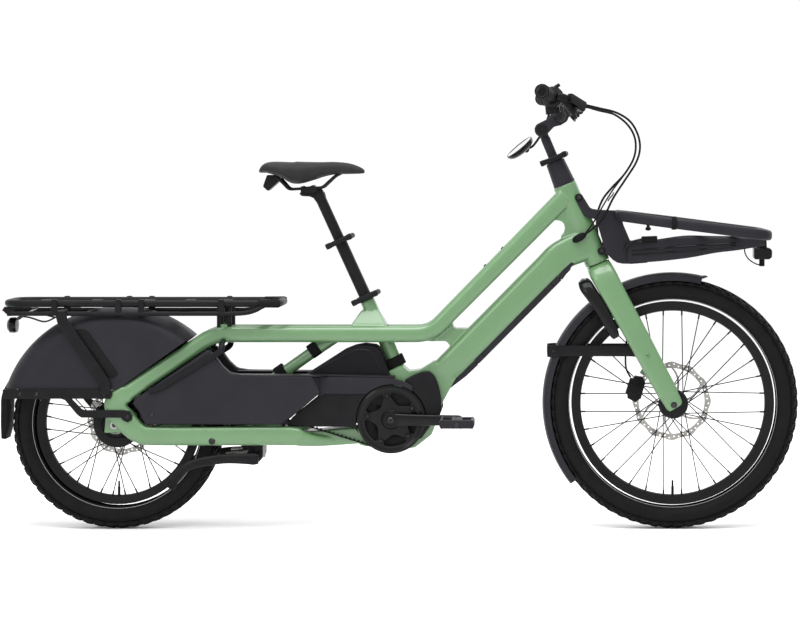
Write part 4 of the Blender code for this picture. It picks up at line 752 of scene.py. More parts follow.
def build_wheel_cover():
    """Arch over the rear wheel with its side vents, and the mud flap."""
    shell = piece("wheel_cover", wheel_cover_shell(), "charcoal", "frame",
                  stands_for=("rear_wheel_cover",), crease=50)
    below = block((-1.2, -0.2, -0.1), (0.0, 0.2, 0.36))
    ahead = [(-0.744, 0.1), (-0.744, 0.333), (-0.715, 0.353), (-0.5, 0.506),
             (-0.43, 0.553), (-0.1, 0.568), (-0.1, 0.1)]
    cut(shell, below, slab(ahead, -0.2, 0.2))
    vent = [(-0.816, 0.505), (-0.806, 0.511), (-0.79, 0.511), (-0.778, 0.504),
            (-0.704, 0.401), (-0.708, 0.393), (-0.719, 0.386), (-0.729, 0.388),
            (-0.744, 0.402)]
    for left in (-1, 1):
        cut(shell, slab(vent, *sides(left, 0.08, 0.1)))
        grow, middle = 0.03, (-0.76, 0.45)
        inner = piece("cover_vent", slab(vent, *sides(left, 0.0815, 0.0845)), "black_paint",
                      "frame", bevel=0.001)
        inner.scale = (1 + grow, 1.0, 1 + grow)
        inner.location = (-grow * middle[0], 0.0, -grow * middle[1])
    reshade(shell, 50)
    flap = swept([(-0.979, 0, 0.38, 0.035, 0.01), (-0.998, 0, 0.34, 0.036, 0.0115),
                  (-1.001, 0, 0.3, 0.036, 0.011), (-1.002, 0, 0.26, 0.036, 0.01),
                  (-1.005, 0, 0.229, 0.033, 0.006)], 5, count=20, power=8.0)
    piece("mudflap", flap, "rubber", "frame")


def strut_bar():
    """Flat foot board holder from the wheel cover to the drop-out."""
    outline = [(-0.9935, 0.36), (-0.9935, 0.3365), (-0.847, 0.3365), (-0.837, 0.333),
               (-0.806, 0.296), (-0.796, 0.289), (-0.697, 0.289), (-0.69, 0.281),
               (-0.679, 0.277), (-0.669, 0.283), (-0.667, 0.295), (-0.675, 0.306),
               (-0.689, 0.308), (-0.787, 0.308), (-0.795, 0.311), (-0.82, 0.3365),
               (-0.723, 0.3365), (-0.718, 0.348), (-0.723, 0.36)]
    return slab(outline, -0.0953, -0.0903)


def strut_arm():
    """Arm from the rack's rail down to the holder."""
    rows = [(-0.8455, -0.095, 0.556), (-0.8455, -0.0965, 0.535), (-0.756, -0.0965, 0.406),
            (-0.733, -0.0965, 0.372), (-0.737, -0.0965, 0.348)]
    path = bent(rows, 0.012)
    return loft([(point, 0.006, 0.0135) for point in path], Y_AXIS, 28, 3.2)


def build_struts():
    """Struts from the rack to the drop-outs, with their bolts."""
    both_sides("strut_bar", strut_bar, "black_paint", "frame", bevel=0.0012)
    both_sides("strut_arm", strut_arm, "black_paint", "frame", stands_for=("right_rack_strut",))
    for left in (-1, 1):
        for x, z in ((-0.95, 0.348), (-0.908, 0.348), (-0.68, 0.291), (-0.738, 0.348)):
            screw("bar_bolt", (x, left * 0.0953, z), Y_AXIS * left, 0.0052, "frame")


# ---------------------------------------------------------------- rear rack
def build_rear_rack():
    """Deck loop, slats, low rails, clips and posts, tail light and reflector."""
    deck, wide = 0.575, 0.08
    rear, front = -0.99, -0.3
    loop = [(-0.6, -wide, deck), (rear, -wide, deck), (rear, wide, deck), (front, wide, deck),
            (front, -wide, deck), (-0.6, -wide, deck)]
    piece("rack_deck", pipe(loop, 0.045, 0.009, Z_AXIS, 24, 2.2, closed=True), "black_paint",
          "frame", stands_for=("rear_rack",))
    for x in (-0.91, -0.78, -0.646, -0.54, -0.445, -0.35):
        slat = block((x - 0.013, -wide, deck - 0.004), (x + 0.013, wide, deck + 0.0035))
        piece("rack_slat", slat, "black_paint", "frame", bevel=0.0012)
    for left in (-1, 1):
        side = left * 0.0885
        low_rail = [(-0.979, side, 0.55), (-0.395, side, 0.55), (-0.36, side, 0.556),
                    (-0.337, left * wide, 0.572)]
        piece("rack_rail", pipe(low_rail, 0.02, 0.0057, count=20), "black_paint", "frame")
        end_cap = [(0.0, -0.004), (0.006, -0.004), (0.006, 0.004), (0.0, 0.006)]
        piece("rack_rail_end", spun(end_cap, Vector((-0.979, side, 0.55)), -X_AXIS, Z_AXIS, 20),
              "rubber", "frame")
        for x in (-0.8649, -0.704, -0.646, -0.445):
            clip = [(x - 0.0065, 0.548), (x + 0.0065, 0.548), (x + 0.008, 0.556),
                    (x + 0.0065, 0.586), (x - 0.0065, 0.586), (x - 0.008, 0.556)]
            piece("rack_clip", slab(clip, *sides(left, 0.08, 0.0935)), "black_paint", "frame",
                  bevel=0.0015)
        for x in (-0.454, -0.433):
            post = bar(Vector((x, left * RAIL_Y, 0)), Z_AXIS, 0.0085, 0.513, deck, 20)
            piece("rack_post", post, "black_paint", "frame")
        boss = spun([(0.0, -0.006), (0.0125, -0.006), (0.0115, 0.0045), (0.0, 0.0045)],
                    Vector((-0.4435, left * RAIL_Y, 0.517)), Z_AXIS, X_AXIS, 24)
        piece("rack_boss", boss, "green_paint", "frame", bevel=0.001)
        cap = [(0.0, -0.03), (0.01, -0.03), (0.0104, 0.02), (0.008, 0.026), (0.0, 0.026)]
        piece("front_cap", spun(cap, Vector((-0.323, left * wide, deck)), X_AXIS, Z_AXIS, 24),
              "rubber", "frame")
    for x in (-0.8649, -0.445):
        piece("rack_cross", bar(Vector((x, 0, 0.55)), Y_AXIS, 0.005, -0.0885, 0.0885, 20),
              "black_paint", "frame")
    lens = [(-1.001, 0.565), (-1.005, 0.556), (-0.996, 0.547), (-0.95, 0.547),
            (-0.931, 0.556), (-0.931, 0.565)]
    piece("tail_light", slab(lens, -0.046, 0.046), "black_gloss", "frame",
          stands_for=("rear_light",), bevel=0.002)
    face = [(-1.0068, 0.558), (-1.0075, 0.554), (-0.97, 0.549), (-0.96, 0.55),
            (-0.99, 0.558)]
    piece("tail_lens", slab(face, -0.04, 0.04), "red_lens", "frame", bevel=0.0015)
    for name, material, profile in (
            ("tail_reflector_body", "black_gloss",
             [(0.0, -0.013), (0.015, -0.012), (0.0195, -0.008), (0.02, 0.004),
              (0.018, 0.009), (0.0, 0.011)]),
            ("tail_reflector", "red_lens",
             [(0.0, -0.0145), (0.0135, -0.0135), (0.014, -0.011), (0.0, -0.011)])):
        oval = spun(profile, Vector((-0.9856, 0.0, 0.516)), X_AXIS, Z_AXIS, 40)
        bmesh.ops.transform(oval, matrix=Matrix.Scale(1.3, 4, Y_AXIS), verts=oval.verts)
        piece(name, oval, material, "frame", crease=45)
    wire = [(-0.976, 0.015, 0.53), (-0.96, 0.05, 0.54), (-0.93, 0.076, 0.54),
            (-0.89, 0.086, 0.53), (-0.86, 0.093, 0.542)]
    for left in (-1, 1):
        piece("reflector_wire", tube(sided(wire, left), 0.0022, 6, 12), "black_paint", "frame")


# ---------------------------------------------------------------- wheels
def tyre_section(radius, bead):
    """Outside of a tyre from bead to bead as (radius, side)."""
    middle, reach = (radius + bead) / 2, (radius - bead) / 2
    outside = []
    for step in range(25):
        angle = radians(-62 + 304 * step / 24)
        outside.append((middle + (reach - 0.0028) * sin(angle), TYRE_SIDE * cos(angle)))
    inside = [(middle + (reach - 0.0075) * sin(radians(a)), 0.027 * cos(radians(a)))
              for a in (235, 180, 90, 0, -55)]
    return outside + inside


def lugs(axle, radius, count):
    """Tread blocks: two centre rows, two shoulder rows and side lugs."""
    bm = bmesh.new()
    rows = ((0.006, 0.0052, 0.0, 0.0, 0.46, 0.0), (-0.006, 0.0052, 0.0, 0.5, 0.46, 0.0),
            (0.0175, 0.005, 0.0022, 0.25, 0.4, 0.35), (-0.0175, 0.005, 0.0022, 0.75, 0.4, 0.35),
            (0.0262, 0.004, 0.0075, 0.0, 0.56, 0.9), (-0.0262, 0.004, 0.0075, 0.5, 0.56, 0.9))
    for side, half_width, drop, phase, length, lean in rows:
        outward = 1 if side > 0 else -1
        for step in range(count):
            angle = 2 * pi * (step + phase) / count
            half = pi / count * length
            corners = []
            for lift in (-0.006, 0.0):
                for swing, across in ((-half, -half_width), (half, -half_width),
                                      (half, half_width), (-half, half_width)):
                    skew = half * 0.5 * (1 if across > 0 else -1) * outward
                    out = radius - drop + lift - lean * across * outward * 0.55
                    turn = angle + swing * (0.86 if lift == 0 else 1.0) + skew
                    out_dir = Vector((sin(turn), 0.0, cos(turn)))
                    corners.append(bm.verts.new(axle + out_dir * out + Y_AXIS * (side + across)))
            skin(bm, [corners[:4], corners[4:]])
    return bm


def side_notches(axle, radius, count):
    """Short raised bars on the shoulders of the sidewall."""
    bm = bmesh.new()
    for left in (-1, 1):
        for step in range(count):
            angle = 2 * pi * (step + (0.25 if left > 0 else 0.0)) / count
            rings = []
            for swing, out, rise in ((-0.35, -0.0165, 0.0), (0.05, -0.0125, 0.0016),
                                     (0.45, -0.015, 0.0)):
                turn = angle + swing * 2 * pi / count
                out_dir = Vector((sin(turn), 0.0, cos(turn)))
                centre = axle + out_dir * (radius + out) + Y_AXIS * left * (0.0292 + rise)
                rings.append([bm.verts.new(centre + out_dir * a + Y_AXIS * left * b)
                              for a, b in ((-0.002, -0.0015), (0.002, -0.0022),
                                           (0.0015, 0.0008), (-0.0015, 0.0012))])
            skin(bm, rings)
    return bm


def stripe(axle, radius, side):
    """Thin reflective band on a sidewall."""
    profile = [(radius - 0.0007, side - 0.0006), (radius + 0.0007, side - 0.0006),
               (radius + 0.0006, side + 0.0002), (radius - 0.0006, side + 0.0002)]
    return spun(profile, axle, count=160)


def spokes(axle, count, flange_radius, flange_sides, rim_radius, crossing):
    """Laced spokes with their nipples."""
    bm = bmesh.new()
    for step in range(count):
        near = step % 2 == 0
        side = flange_sides[0] if near else flange_sides[1]
        trailing = (step // 2) % 2 == 0
        rim_angle = 2 * pi * (step + 0.5) / count
        hub_angle = rim_angle + radians(crossing) * (1 if trailing else -1)
        rim_dir = Vector((sin(rim_angle), 0.0, cos(rim_angle)))
        hub_dir = Vector((sin(hub_angle), 0.0, cos(hub_angle)))
        inner = axle + hub_dir * flange_radius + Y_AXIS * (side + (0.0022 if trailing else -0.0022))
        outer = axle + rim_dir * (rim_radius + 0.004) + Y_AXIS * (side * 0.12)
        along = (outer - inner).normalized()
        cross = along.cross(Y_AXIS).normalized()
        up = along.cross(cross)
        nipple = outer - along * 0.015
        rings = [ring_of(bm, point, cross, up, size, size, 8, 2.0) for point, size in
                 ((inner, 0.0014), (nipple, 0.0014), (nipple, 0.0023), (outer, 0.0023))]
        skin(bm, rings)
    return bm


def rotor_plate(axle, radius, side, lobes, arms):
    """Wave-edged brake disc with round vents and swept arms."""
    centre = xz(axle)
    depth, steps = 0.0022, 240
    turns = [2 * pi * step / steps for step in range(steps)]
    outlines = [[polar(centre, radius - depth + depth * cos(lobes * turn), turn) for turn in turns]]
    holes = lobes * 4
    for step in range(holes):
        angle = 2 * pi * (step + 0.5) / holes
        out = radius - 0.0088 + 0.0012 * cos(lobes * angle) + (0.0016 if step % 2 else -0.0016)
        outlines.append(arc(polar(centre, out, angle), 0.0021, 0, 330, 11))
    hub, inner = 0.024, radius - 0.0165
    half_arm, swirl = 0.003, 0.5

    def arm_edge(start, half, k):
        """Point k of 8 along the swept edge of an arm."""
        out = hub + (inner - hub) * k / 8
        return polar(centre, out, start + swirl * (k / 8) ** 1.3 + half / out)
    for step in range(arms):
        start, end = 2 * pi * step / arms, 2 * pi * (step + 1) / arms
        low, high = start + swirl + half_arm / inner, end + swirl - half_arm / inner
        window = [arm_edge(start, half_arm, k) for k in range(9)]
        window += [polar(centre, inner, low + (high - low) * k / 8) for k in range(1, 8)]
        window += [arm_edge(end, -half_arm, k) for k in range(8, -1, -1)]
        outlines.append(window)
    outlines.append(arc(centre, 0.0075, 0, 345, 23))
    return plate(outlines, side - 0.0009, side + 0.0009)


def rim_section(inner, bead):
    """Deep rim with bead hooks, as (radius, side)."""
    return [(inner, -0.006), (inner, 0.006), (inner + 0.002, 0.0095), (bead - 0.006, 0.014),
            (bead + 0.001, 0.015), (bead + 0.0012, 0.013), (bead - 0.007, 0.01),
            (bead - 0.009, 0.004), (bead - 0.009, -0.004), (bead - 0.007, -0.01),
            (bead + 0.0012, -0.013), (bead + 0.001, -0.015), (bead - 0.006, -0.014),
            (inner + 0.002, -0.0095)]


def build_wheel(name, body, axle, radius, bead, rim_inner, stripe_radius, tread, hub_shell,
                spoke_count, flange, flange_sides, crossing, rotor_radius, rotor_side):
    """Tyre, tread, rim, hub, spokes, rotor and valve of one wheel."""
    piece(name + "_tyre_skin", spun(tyre_section(radius, bead), axle, count=160), "tyre_rubber",
          body, stands_for=(name + "_tyre",), crease=60)
    piece(name + "_tread", merge(lugs(axle, radius, tread), side_notches(axle, radius, tread)),
          "tyre_rubber", body, crease=25)
    middle, reach = (radius + bead) / 2, (radius - bead) / 2 - 0.0028
    rise = (1 - ((stripe_radius - middle) / reach) ** 2) ** 0.5
    for side in (-1, 1):
        piece(name + "_stripe", stripe(axle, stripe_radius, side * TYRE_SIDE * rise), "stripe",
              body)
    piece(name + "_rim_skin", spun(rim_section(rim_inner, bead), axle, count=160), "black_paint",
          body, stands_for=(name + "_rim",), crease=40)
    piece(name + "_hub_skin", spun(hub_shell, axle, count=64), "black_paint", body,
          stands_for=(name + "_hub",), crease=28)
    laced = spokes(axle, spoke_count, flange, flange_sides, rim_inner, crossing)
    piece(name + "_spokes", laced, "black_paint", body)
    piece(name + "_rotor_disc", rotor_plate(axle, rotor_radius, rotor_side, 12, 6), "steel", body,
          stands_for=(name + "_rotor",))
    lock = [(0.023, rotor_side), (0.023, rotor_side + 0.0035), (0.019, rotor_side + 0.005),
            (0.008, rotor_side + 0.005), (0.008, rotor_side)]
    piece(name + "_rotor_lock", spun(lock, axle, count=48), "black_paint", body)
    foot = axle + Vector((0.0, 0.0, -rim_inner + 0.002))
    valve = [(0.0, -0.012), (0.0035, -0.012), (0.0035, 0.018), (0.0026, 0.02), (0.0026, 0.034),
             (0.0, 0.034)]
    piece(name + "_valve", spun(valve, foot, Z_AXIS, X_AXIS, 16), "rubber", body)


def build_wheels():
    """Both wheels, with their hub profiles as (radius, side)."""
    front_hub = [(0.0064, -0.047), (0.018, -0.047), (0.036, -0.041), (0.038, -0.036),
                 (0.036, -0.034), (0.02, -0.033), (0.02, -0.0315), (0.029, -0.031),
                 (0.03, -0.029), (0.029, -0.027), (0.018, -0.024), (0.015, -0.015),
                 (0.015, 0.015), (0.018, 0.024), (0.029, 0.027), (0.03, 0.029),
                 (0.029, 0.031), (0.02, 0.033), (0.019, 0.0425), (0.0064, 0.0425)]
    build_wheel("front", "front_wheel", FRONT_AXLE, radius=0.3185, bead=0.257, rim_inner=0.2343,
                stripe_radius=0.2647, tread=66, hub_shell=front_hub, spoke_count=32,
                flange=0.0265, flange_sides=(-0.029, 0.029), crossing=67.5, rotor_radius=0.101,
                rotor_side=0.044)
    rear_hub = [(0.0064, -0.0395), (0.04, -0.0395), (0.052, -0.036), (0.0575, -0.0315),
                (0.0605, -0.03), (0.0612, -0.028), (0.0605, -0.026), (0.059, -0.0235),
                (0.057, -0.015), (0.057, 0.015), (0.059, 0.0235), (0.0605, 0.026),
                (0.0612, 0.028), (0.0605, 0.03), (0.052, 0.037), (0.035, 0.043),
                (0.018, 0.047), (0.0064, 0.047)]
    build_wheel("rear", "rear_wheel", REAR_AXLE, radius=0.268, bead=0.206, rim_inner=0.185,
                stripe_radius=0.2165, tread=56, hub_shell=rear_hub, spoke_count=36,
                flange=0.059, flange_sides=(-0.028, 0.028), crossing=24.0, rotor_radius=0.09,
                rotor_side=0.05)


def build_axles():
    """Axle shafts, and the rear axle's nuts and washers."""
    for name, axle, reach, body in (("front_axle", FRONT_AXLE, 0.076, "steering"),
                                    ("rear_axle", REAR_AXLE, 0.08, "frame")):
        shaft = [(0.0, -reach), (0.0035, -reach), (0.0035, 0.003 - reach), (0.0075, 0.004 - reach),
                 (0.008, 0.009 - reach), (0.0058, 0.01 - reach), (0.0058, reach - 0.01),
                 (0.008, reach - 0.009), (0.0075, reach - 0.004), (0.0035, reach - 0.003),
                 (0.0035, reach), (0.0, reach)]
        piece(name + "_shaft", spun(shaft, axle, count=36), "dark_steel", body,
              stands_for=(name,))
    nut = [polar(xz(REAR_AXLE), 0.012, radians(60 * corner)) for corner in range(6)]
    for left in (-1, 1):
        piece("rear_axle_nut", slab(nut, *sides(left, 0.0702, 0.0765)), "steel", "frame",
              bevel=0.0012)
        low, high = sides(left, 0.055, 0.0602)
        piece("axle_washer", spun([(0.0068, low), (0.017, low), (0.017, high), (0.0068, high)],
                                  REAR_AXLE, count=36), "dark_steel", "frame")


# ---------------------------------------------------------------- fork
def fork_blade():
    """Right blade from the drop-out up to the shoulder and the crown's middle."""
    rows = [(0.7, -0.061, 0.3105, 0.0165, 0.0095), (0.6965, -0.061, 0.3165, 0.0215, 0.01),
            (0.6905, -0.061, 0.3285, 0.0232, 0.01), (0.684, -0.061, 0.3405, 0.024, 0.0102),
            (0.679, -0.0608, 0.35, 0.0262, 0.0125), (0.65, -0.059, 0.403, 0.0272, 0.0128),
            (0.6, -0.0565, 0.496, 0.0288, 0.0128), (0.548, -0.0535, 0.59, 0.0305, 0.0128),
            (0.526, -0.05, 0.631, 0.0318, 0.014), (0.514, -0.036, 0.652, 0.0318, 0.0175),
            (0.511, -0.01, 0.6575, 0.0315, 0.018), (0.511, 0.01, 0.6575, 0.0315, 0.018)]
    return swept(rows, 5, STEER_FORWARD, 40, 3.6)


def build_fork():
    """Fork as one welded skin, the steerer and the ring lock behind the crown."""
    right = fork_blade()
    parts = merge(bmesh.new(), right.copy(), mirror_copy(right))
    right.free()
    parts = merge(parts, bar(HEAD_BASE, STEER_UP, 0.03, -0.02, -0.0015, 56))
    shell = piece("fork_skin", parts, "green_paint", "steering")
    weld(shell, 0.0016, 3)
    cut(shell, bar(FRONT_AXLE, Y_AXIS, 0.0082, -0.1, 0.1, 24))
    repaint(shell, 50, "green_paint")
    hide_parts("fork")
    piece("steerer", spun([(0.0128, 0.12), (0.0142, 0.12), (0.0142, 0.229), (0.0128, 0.229)],
                          HEAD_BASE, STEER_UP, Y_AXIS, 32), "dark_steel", "steering")
    lock = [(0.47, 0.03, 0.623, 0.015, 0.01), (0.4755, 0.045, 0.614, 0.018, 0.0115),
            (0.49, 0.053, 0.593, 0.017, 0.012), (0.506, 0.055, 0.569, 0.0165, 0.012),
            (0.53, 0.055, 0.526, 0.015, 0.012), (0.544, 0.054, 0.499, 0.0125, 0.011),
            (0.55, 0.053, 0.488, 0.0085, 0.008)]
    for left, side in ((-1, "right"), (1, "left")):
        screw("fork_boss_" + side, (0.629, left * 0.0712, 0.444), Y_AXIS * left, 0.0058,
              "steering", "green_paint")
    for left in (-1, 1):
        piece("wheel_lock_side", swept(sided(lock, left), 6, STEER_FORWARD, 28, 3.0), "black_gloss",
              "steering")
    arch = [(0.472, -0.033, 0.621), (0.469, -0.015, 0.624), (0.469, 0.015, 0.624),
            (0.472, 0.033, 0.621)]
    piece("wheel_lock_bridge", tube(arch, 0.011, side=STEER_FORWARD), "black_gloss", "steering")


def build_calipers():
    """Brake calipers, each astride its disc, and their short hoses."""
    for name, body, at, tilt in (("front", "steering", Vector((0.606, 0.044, 0.35)), 18.0),
                                 ("rear", "frame", Vector((-0.635, 0.05, 0.306)), 145.0)):
        turn = Matrix.Translation(at) @ Matrix.Rotation(radians(tilt), 4, "Y")
        half = [(-0.016, -0.03), (0.006, -0.034), (0.017, -0.02), (0.015, 0.022),
                (0.004, 0.033), (-0.015, 0.03), (-0.021, 0.01), (-0.021, -0.015)]
        bridge = [(-0.025, -0.02), (-0.013, -0.024), (-0.013, 0.024), (-0.025, 0.02)]
        bm = merge(bmesh.new(), slab(half, 0.0022, 0.015), slab(half, -0.0115, -0.0022),
                   slab(bridge, -0.011, 0.0145),
                   bar(Vector((-0.002, 0, 0.0)), Y_AXIS, 0.011, 0.01, 0.0185, 24))
        bmesh.ops.transform(bm, matrix=turn, verts=bm.verts)
        piece(name + "_caliper", bm, "black_paint", body, bevel=0.0012)
    route = [(0.59, 0.056, 0.378), (0.579, 0.056, 0.4), (0.577, 0.056, 0.43),
             (0.579, 0.058, 0.46), (0.583, 0.059, 0.5)]
    piece("front_caliper_hose", tube(route, 0.0024), "rubber", "steering")
    tab = slab([(0.613, 0.39), (0.64, 0.372), (0.656, 0.386), (0.648, 0.406),
                (0.623, 0.405)], 0.05, 0.058)
    piece("caliper_mount", tab, "green_paint", "steering", bevel=0.0015)
    route = [(-0.646, 0.062, 0.332), (-0.638, 0.064, 0.35), (-0.61, 0.064, 0.37),
             (-0.56, 0.056, 0.4), (-0.51, 0.05, 0.43), (-0.475, 0.04, 0.465)]
    piece("rear_caliper_hose", tube(route, 0.0024), "rubber", "frame")


def build_front_mudguard():
    """Mudguard with its lip, stays, clips, screws and bracket."""
    half = [(0.312, 0.0372), (0.321, 0.0372), (0.3275, 0.0345), (0.3305, 0.027),
            (0.332, 0.014)]
    inner = [(0.3296, 0.014), (0.3282, 0.026), (0.3256, 0.0325), (0.3204, 0.0345),
             (0.312, 0.035)]
    profile = half + [(radius, -side) for radius, side in reversed(half)]
    profile += [(radius, -side) for radius, side in reversed(inner)] + inner
    begin = radians(-13.0)
    start = Vector((-sin(begin), 0.0, cos(begin)))
    guard = spun(profile, FRONT_AXLE, Y_AXIS, start, 100, radians(-141.0))
    piece("mudguard", guard, "charcoal", "steering", stands_for=("front_mudguard",), crease=35)
    lip = swept([(0.769, 0, 0.6375, 0.03, 0.0036), (0.776, 0, 0.6395, 0.0285, 0.003),
                 (0.783, 0, 0.64, 0.024, 0.0016)], 4, count=24, power=3.0)
    piece("mudguard_lip", lip, "charcoal", "steering")
    for left in (-1, 1):
        path = sided([(0.392, 0.0385, 0.4528), (0.45, 0.0385, 0.4528), (0.59, 0.0435, 0.4528),
                      (0.625, 0.044, 0.448)], left)
        stay = loft([(point, 0.0135, 0.0016) for point in bent(path, 0.01)], Z_AXIS, 16, 6.0)
        piece("mudguard_stay", stay, "black_paint", "steering")
        end = loft([((0.377, left * 0.03, 0.452), 0.015, 0.003),
                    ((0.385, left * 0.0385, 0.452), 0.0155, 0.0035),
                    ((0.399, left * 0.0392, 0.4525), 0.0155, 0.003)], Z_AXIS, 16, 4.0)
        piece("mudguard_clip", end, "black_paint", "steering")
        screw("mudguard_screw", (0.391, left * 0.0405, 0.4525), Y_AXIS * left, 0.004, "steering")
    top = loft([((0.525, 0, 0.63), 0.015, 0.01), ((0.542, 0, 0.618), 0.015, 0.008)],
               count=16, power=4.0)
    piece("mudguard_bracket", top, "black_paint", "steering")


# ---------------------------------------------------------------- stem and cockpit
def lever_bar(base, up, forward):
    """Clamp nut in front, cam lever swept back along the right side of the collar."""
    rows = [(*(base + forward * 0.033 - Y_AXIS * 0.027), 0.0074, 0.0045),
            (*(base + forward * 0.027 - Y_AXIS * 0.0285), 0.008, 0.006),
            (*(base + forward * 0.02 - Y_AXIS * 0.0295), 0.0068, 0.005),
            (*(base + forward * 0.01 - Y_AXIS * 0.03), 0.0064, 0.004),
            (*(base - forward * 0.015 - Y_AXIS * 0.03), 0.0064, 0.0036),
            (*(base - forward * 0.03 - Y_AXIS * 0.0285), 0.0076, 0.0042),
            (*(base - forward * 0.036 - Y_AXIS * 0.0265), 0.007, 0.0038)]
    return swept(rows, 5, up, 24, 2.8)


def build_levers():
    """Clamp levers of the seat posts and the stem, with their ears and nuts."""
    for name, base, up, forward, collar_body in (
            ("seat_clamp_lever", seat(0.19), SEAT_UP, SEAT_FORWARD, "frame"),
            ("post_clamp_lever", seat(0.348), SEAT_UP, SEAT_FORWARD, "lower_post"),
            ("stem_clamp_lever", steer(0.2895), STEER_UP, STEER_FORWARD, "steering")):
        piece(name + "_skin", lever_bar(base, up, forward), "black_paint", name, stands_for=(name,))
        ear = loft([(base + forward * 0.016 - Y_AXIS * 0.011, 0.0068, 0.006),
                    (base + forward * 0.027 - Y_AXIS * 0.0215, 0.0062, 0.006)], up, 20, 3.4)
        piece(name + "_ear", ear, "black_paint", collar_body)
        nut = loft([(base + forward * 0.024 - Y_AXIS * 0.012, 0.0055, 0.0055),
                    (base + forward * 0.0335 + Y_AXIS * 0.016, 0.0068, 0.0068),
                    (base + forward * 0.0335 + Y_AXIS * 0.02, 0.006, 0.006)], up, 24)
        piece(name + "_nut", nut, "black_paint", collar_body, bevel=0.001)


def build_stem():
    """Riser, sliding post and tilting arm, with its caps and bolts."""
    low = HEAD_LENGTH + 0.0005
    profile = [(0.015, low), (0.0285, low), (0.0288, low + 0.003), (0.028, low + 0.006),
               (0.0244, 0.2795), (0.024, 0.2812), (0.0215, 0.2815), (0.0215, 0.283),
               (0.0236, 0.2835), (0.0236, 0.295), (0.0222, 0.2958), (0.0128, 0.2958),
               (0.0128, 0.231), (0.015, 0.23)]
    piece("riser_skin", spun(profile, HEAD_BASE, STEER_UP, Y_AXIS, 64), "charcoal", "steering",
          stands_for=("stem_riser",), crease=30)
    post = [(0.0, 0.185), (0.0121, 0.185), (0.0121, 0.342), (0.0112, 0.348), (0.0112, 0.358),
            (0.0, 0.358)]
    piece("post_tube", spun(post, HEAD_BASE, STEER_UP, Y_AXIS, 48), "charcoal", "stem_slide",
          stands_for=("stem_post",), crease=30)
    pivot = steer(0.3694)
    piece("post_eye", bar(pivot, Y_AXIS, 0.017, -0.0118, 0.0118, 48), "charcoal", "stem_slide",
          bevel=0.001)
    reach = (BAR_CLAMP - pivot).normalized()
    across = Vector((-reach.z, 0.0, reach.x))
    outline = []
    for k in range(13):
        angle = radians(90 + 180 * k / 12)
        outline.append(pivot + reach * (0.0182 * cos(angle)) + across * (0.0182 * sin(angle)))
    outline += [start + reach * ahead + across * rise for start, ahead, rise in (
        (pivot, 0.03, -0.0128), (BAR_CLAMP, -0.012, -0.02), (BAR_CLAMP, 0.006, -0.0215),
        (BAR_CLAMP, 0.023, -0.012), (BAR_CLAMP, 0.025, 0.008), (BAR_CLAMP, 0.016, 0.02),
        (BAR_CLAMP, -0.01, 0.02), (pivot, 0.03, 0.0128))]
    arm = piece("stem_arm_skin", slab([xz(point) for point in outline], -0.0225, 0.0225),
                "charcoal", "cockpit", stands_for=("stem_arm",), bevel=0.003)
    freeze(arm)
    slot = [xz(pivot + reach * ahead + across * rise) for ahead, rise in
            ((-0.03, -0.03), (0.004, -0.03), (0.004, 0.03), (-0.03, 0.03))]
    cut(arm, bar(pivot, Y_AXIS, 0.02, -0.0122, 0.0122, 48), slab(slot, -0.0122, 0.0122),
        bar(BAR_CLAMP, Y_AXIS, 0.016, -0.1, 0.1, 48))
    reshade(arm, 30)
    for left in (-1, 1):
        low, high = sides(left, 0.0226, 0.0245)
        piece("stem_cap", spun([(0.0, low), (0.0145, low), (0.0145, high), (0.0, high)], pivot,
                               count=48), "black_paint", "cockpit", bevel=0.0007)
        screw("stem_bolt", pivot + Y_AXIS * left * 0.0245, Y_AXIS * left, 0.004, "cockpit")
        for drop in (-1, 1):
            place = BAR_CLAMP + reach * 0.0225 + across * drop * 0.0135 + Y_AXIS * left * 0.015
            screw("clamp_bolt", place, reach, 0.0038, "cockpit")


BAR_ROWS = [(0.408, 0.0, 1.049), (0.408, 0.04, 1.049), (0.406, 0.075, 1.056),
            (0.3985, 0.13, 1.08), (0.39, 0.165, 1.092), (0.381, 0.195, 1.096),
            (0.3614, 0.33, 1.1027)]


def bar_line(distance, left):
    """Point on the straight outer part of the handlebar, measured from its bend."""
    start, end = Vector(BAR_ROWS[-2]), Vector(BAR_ROWS[-1])
    point = start + (end - start).normalized() * distance
    return Vector((point.x, left * point.y, point.z))


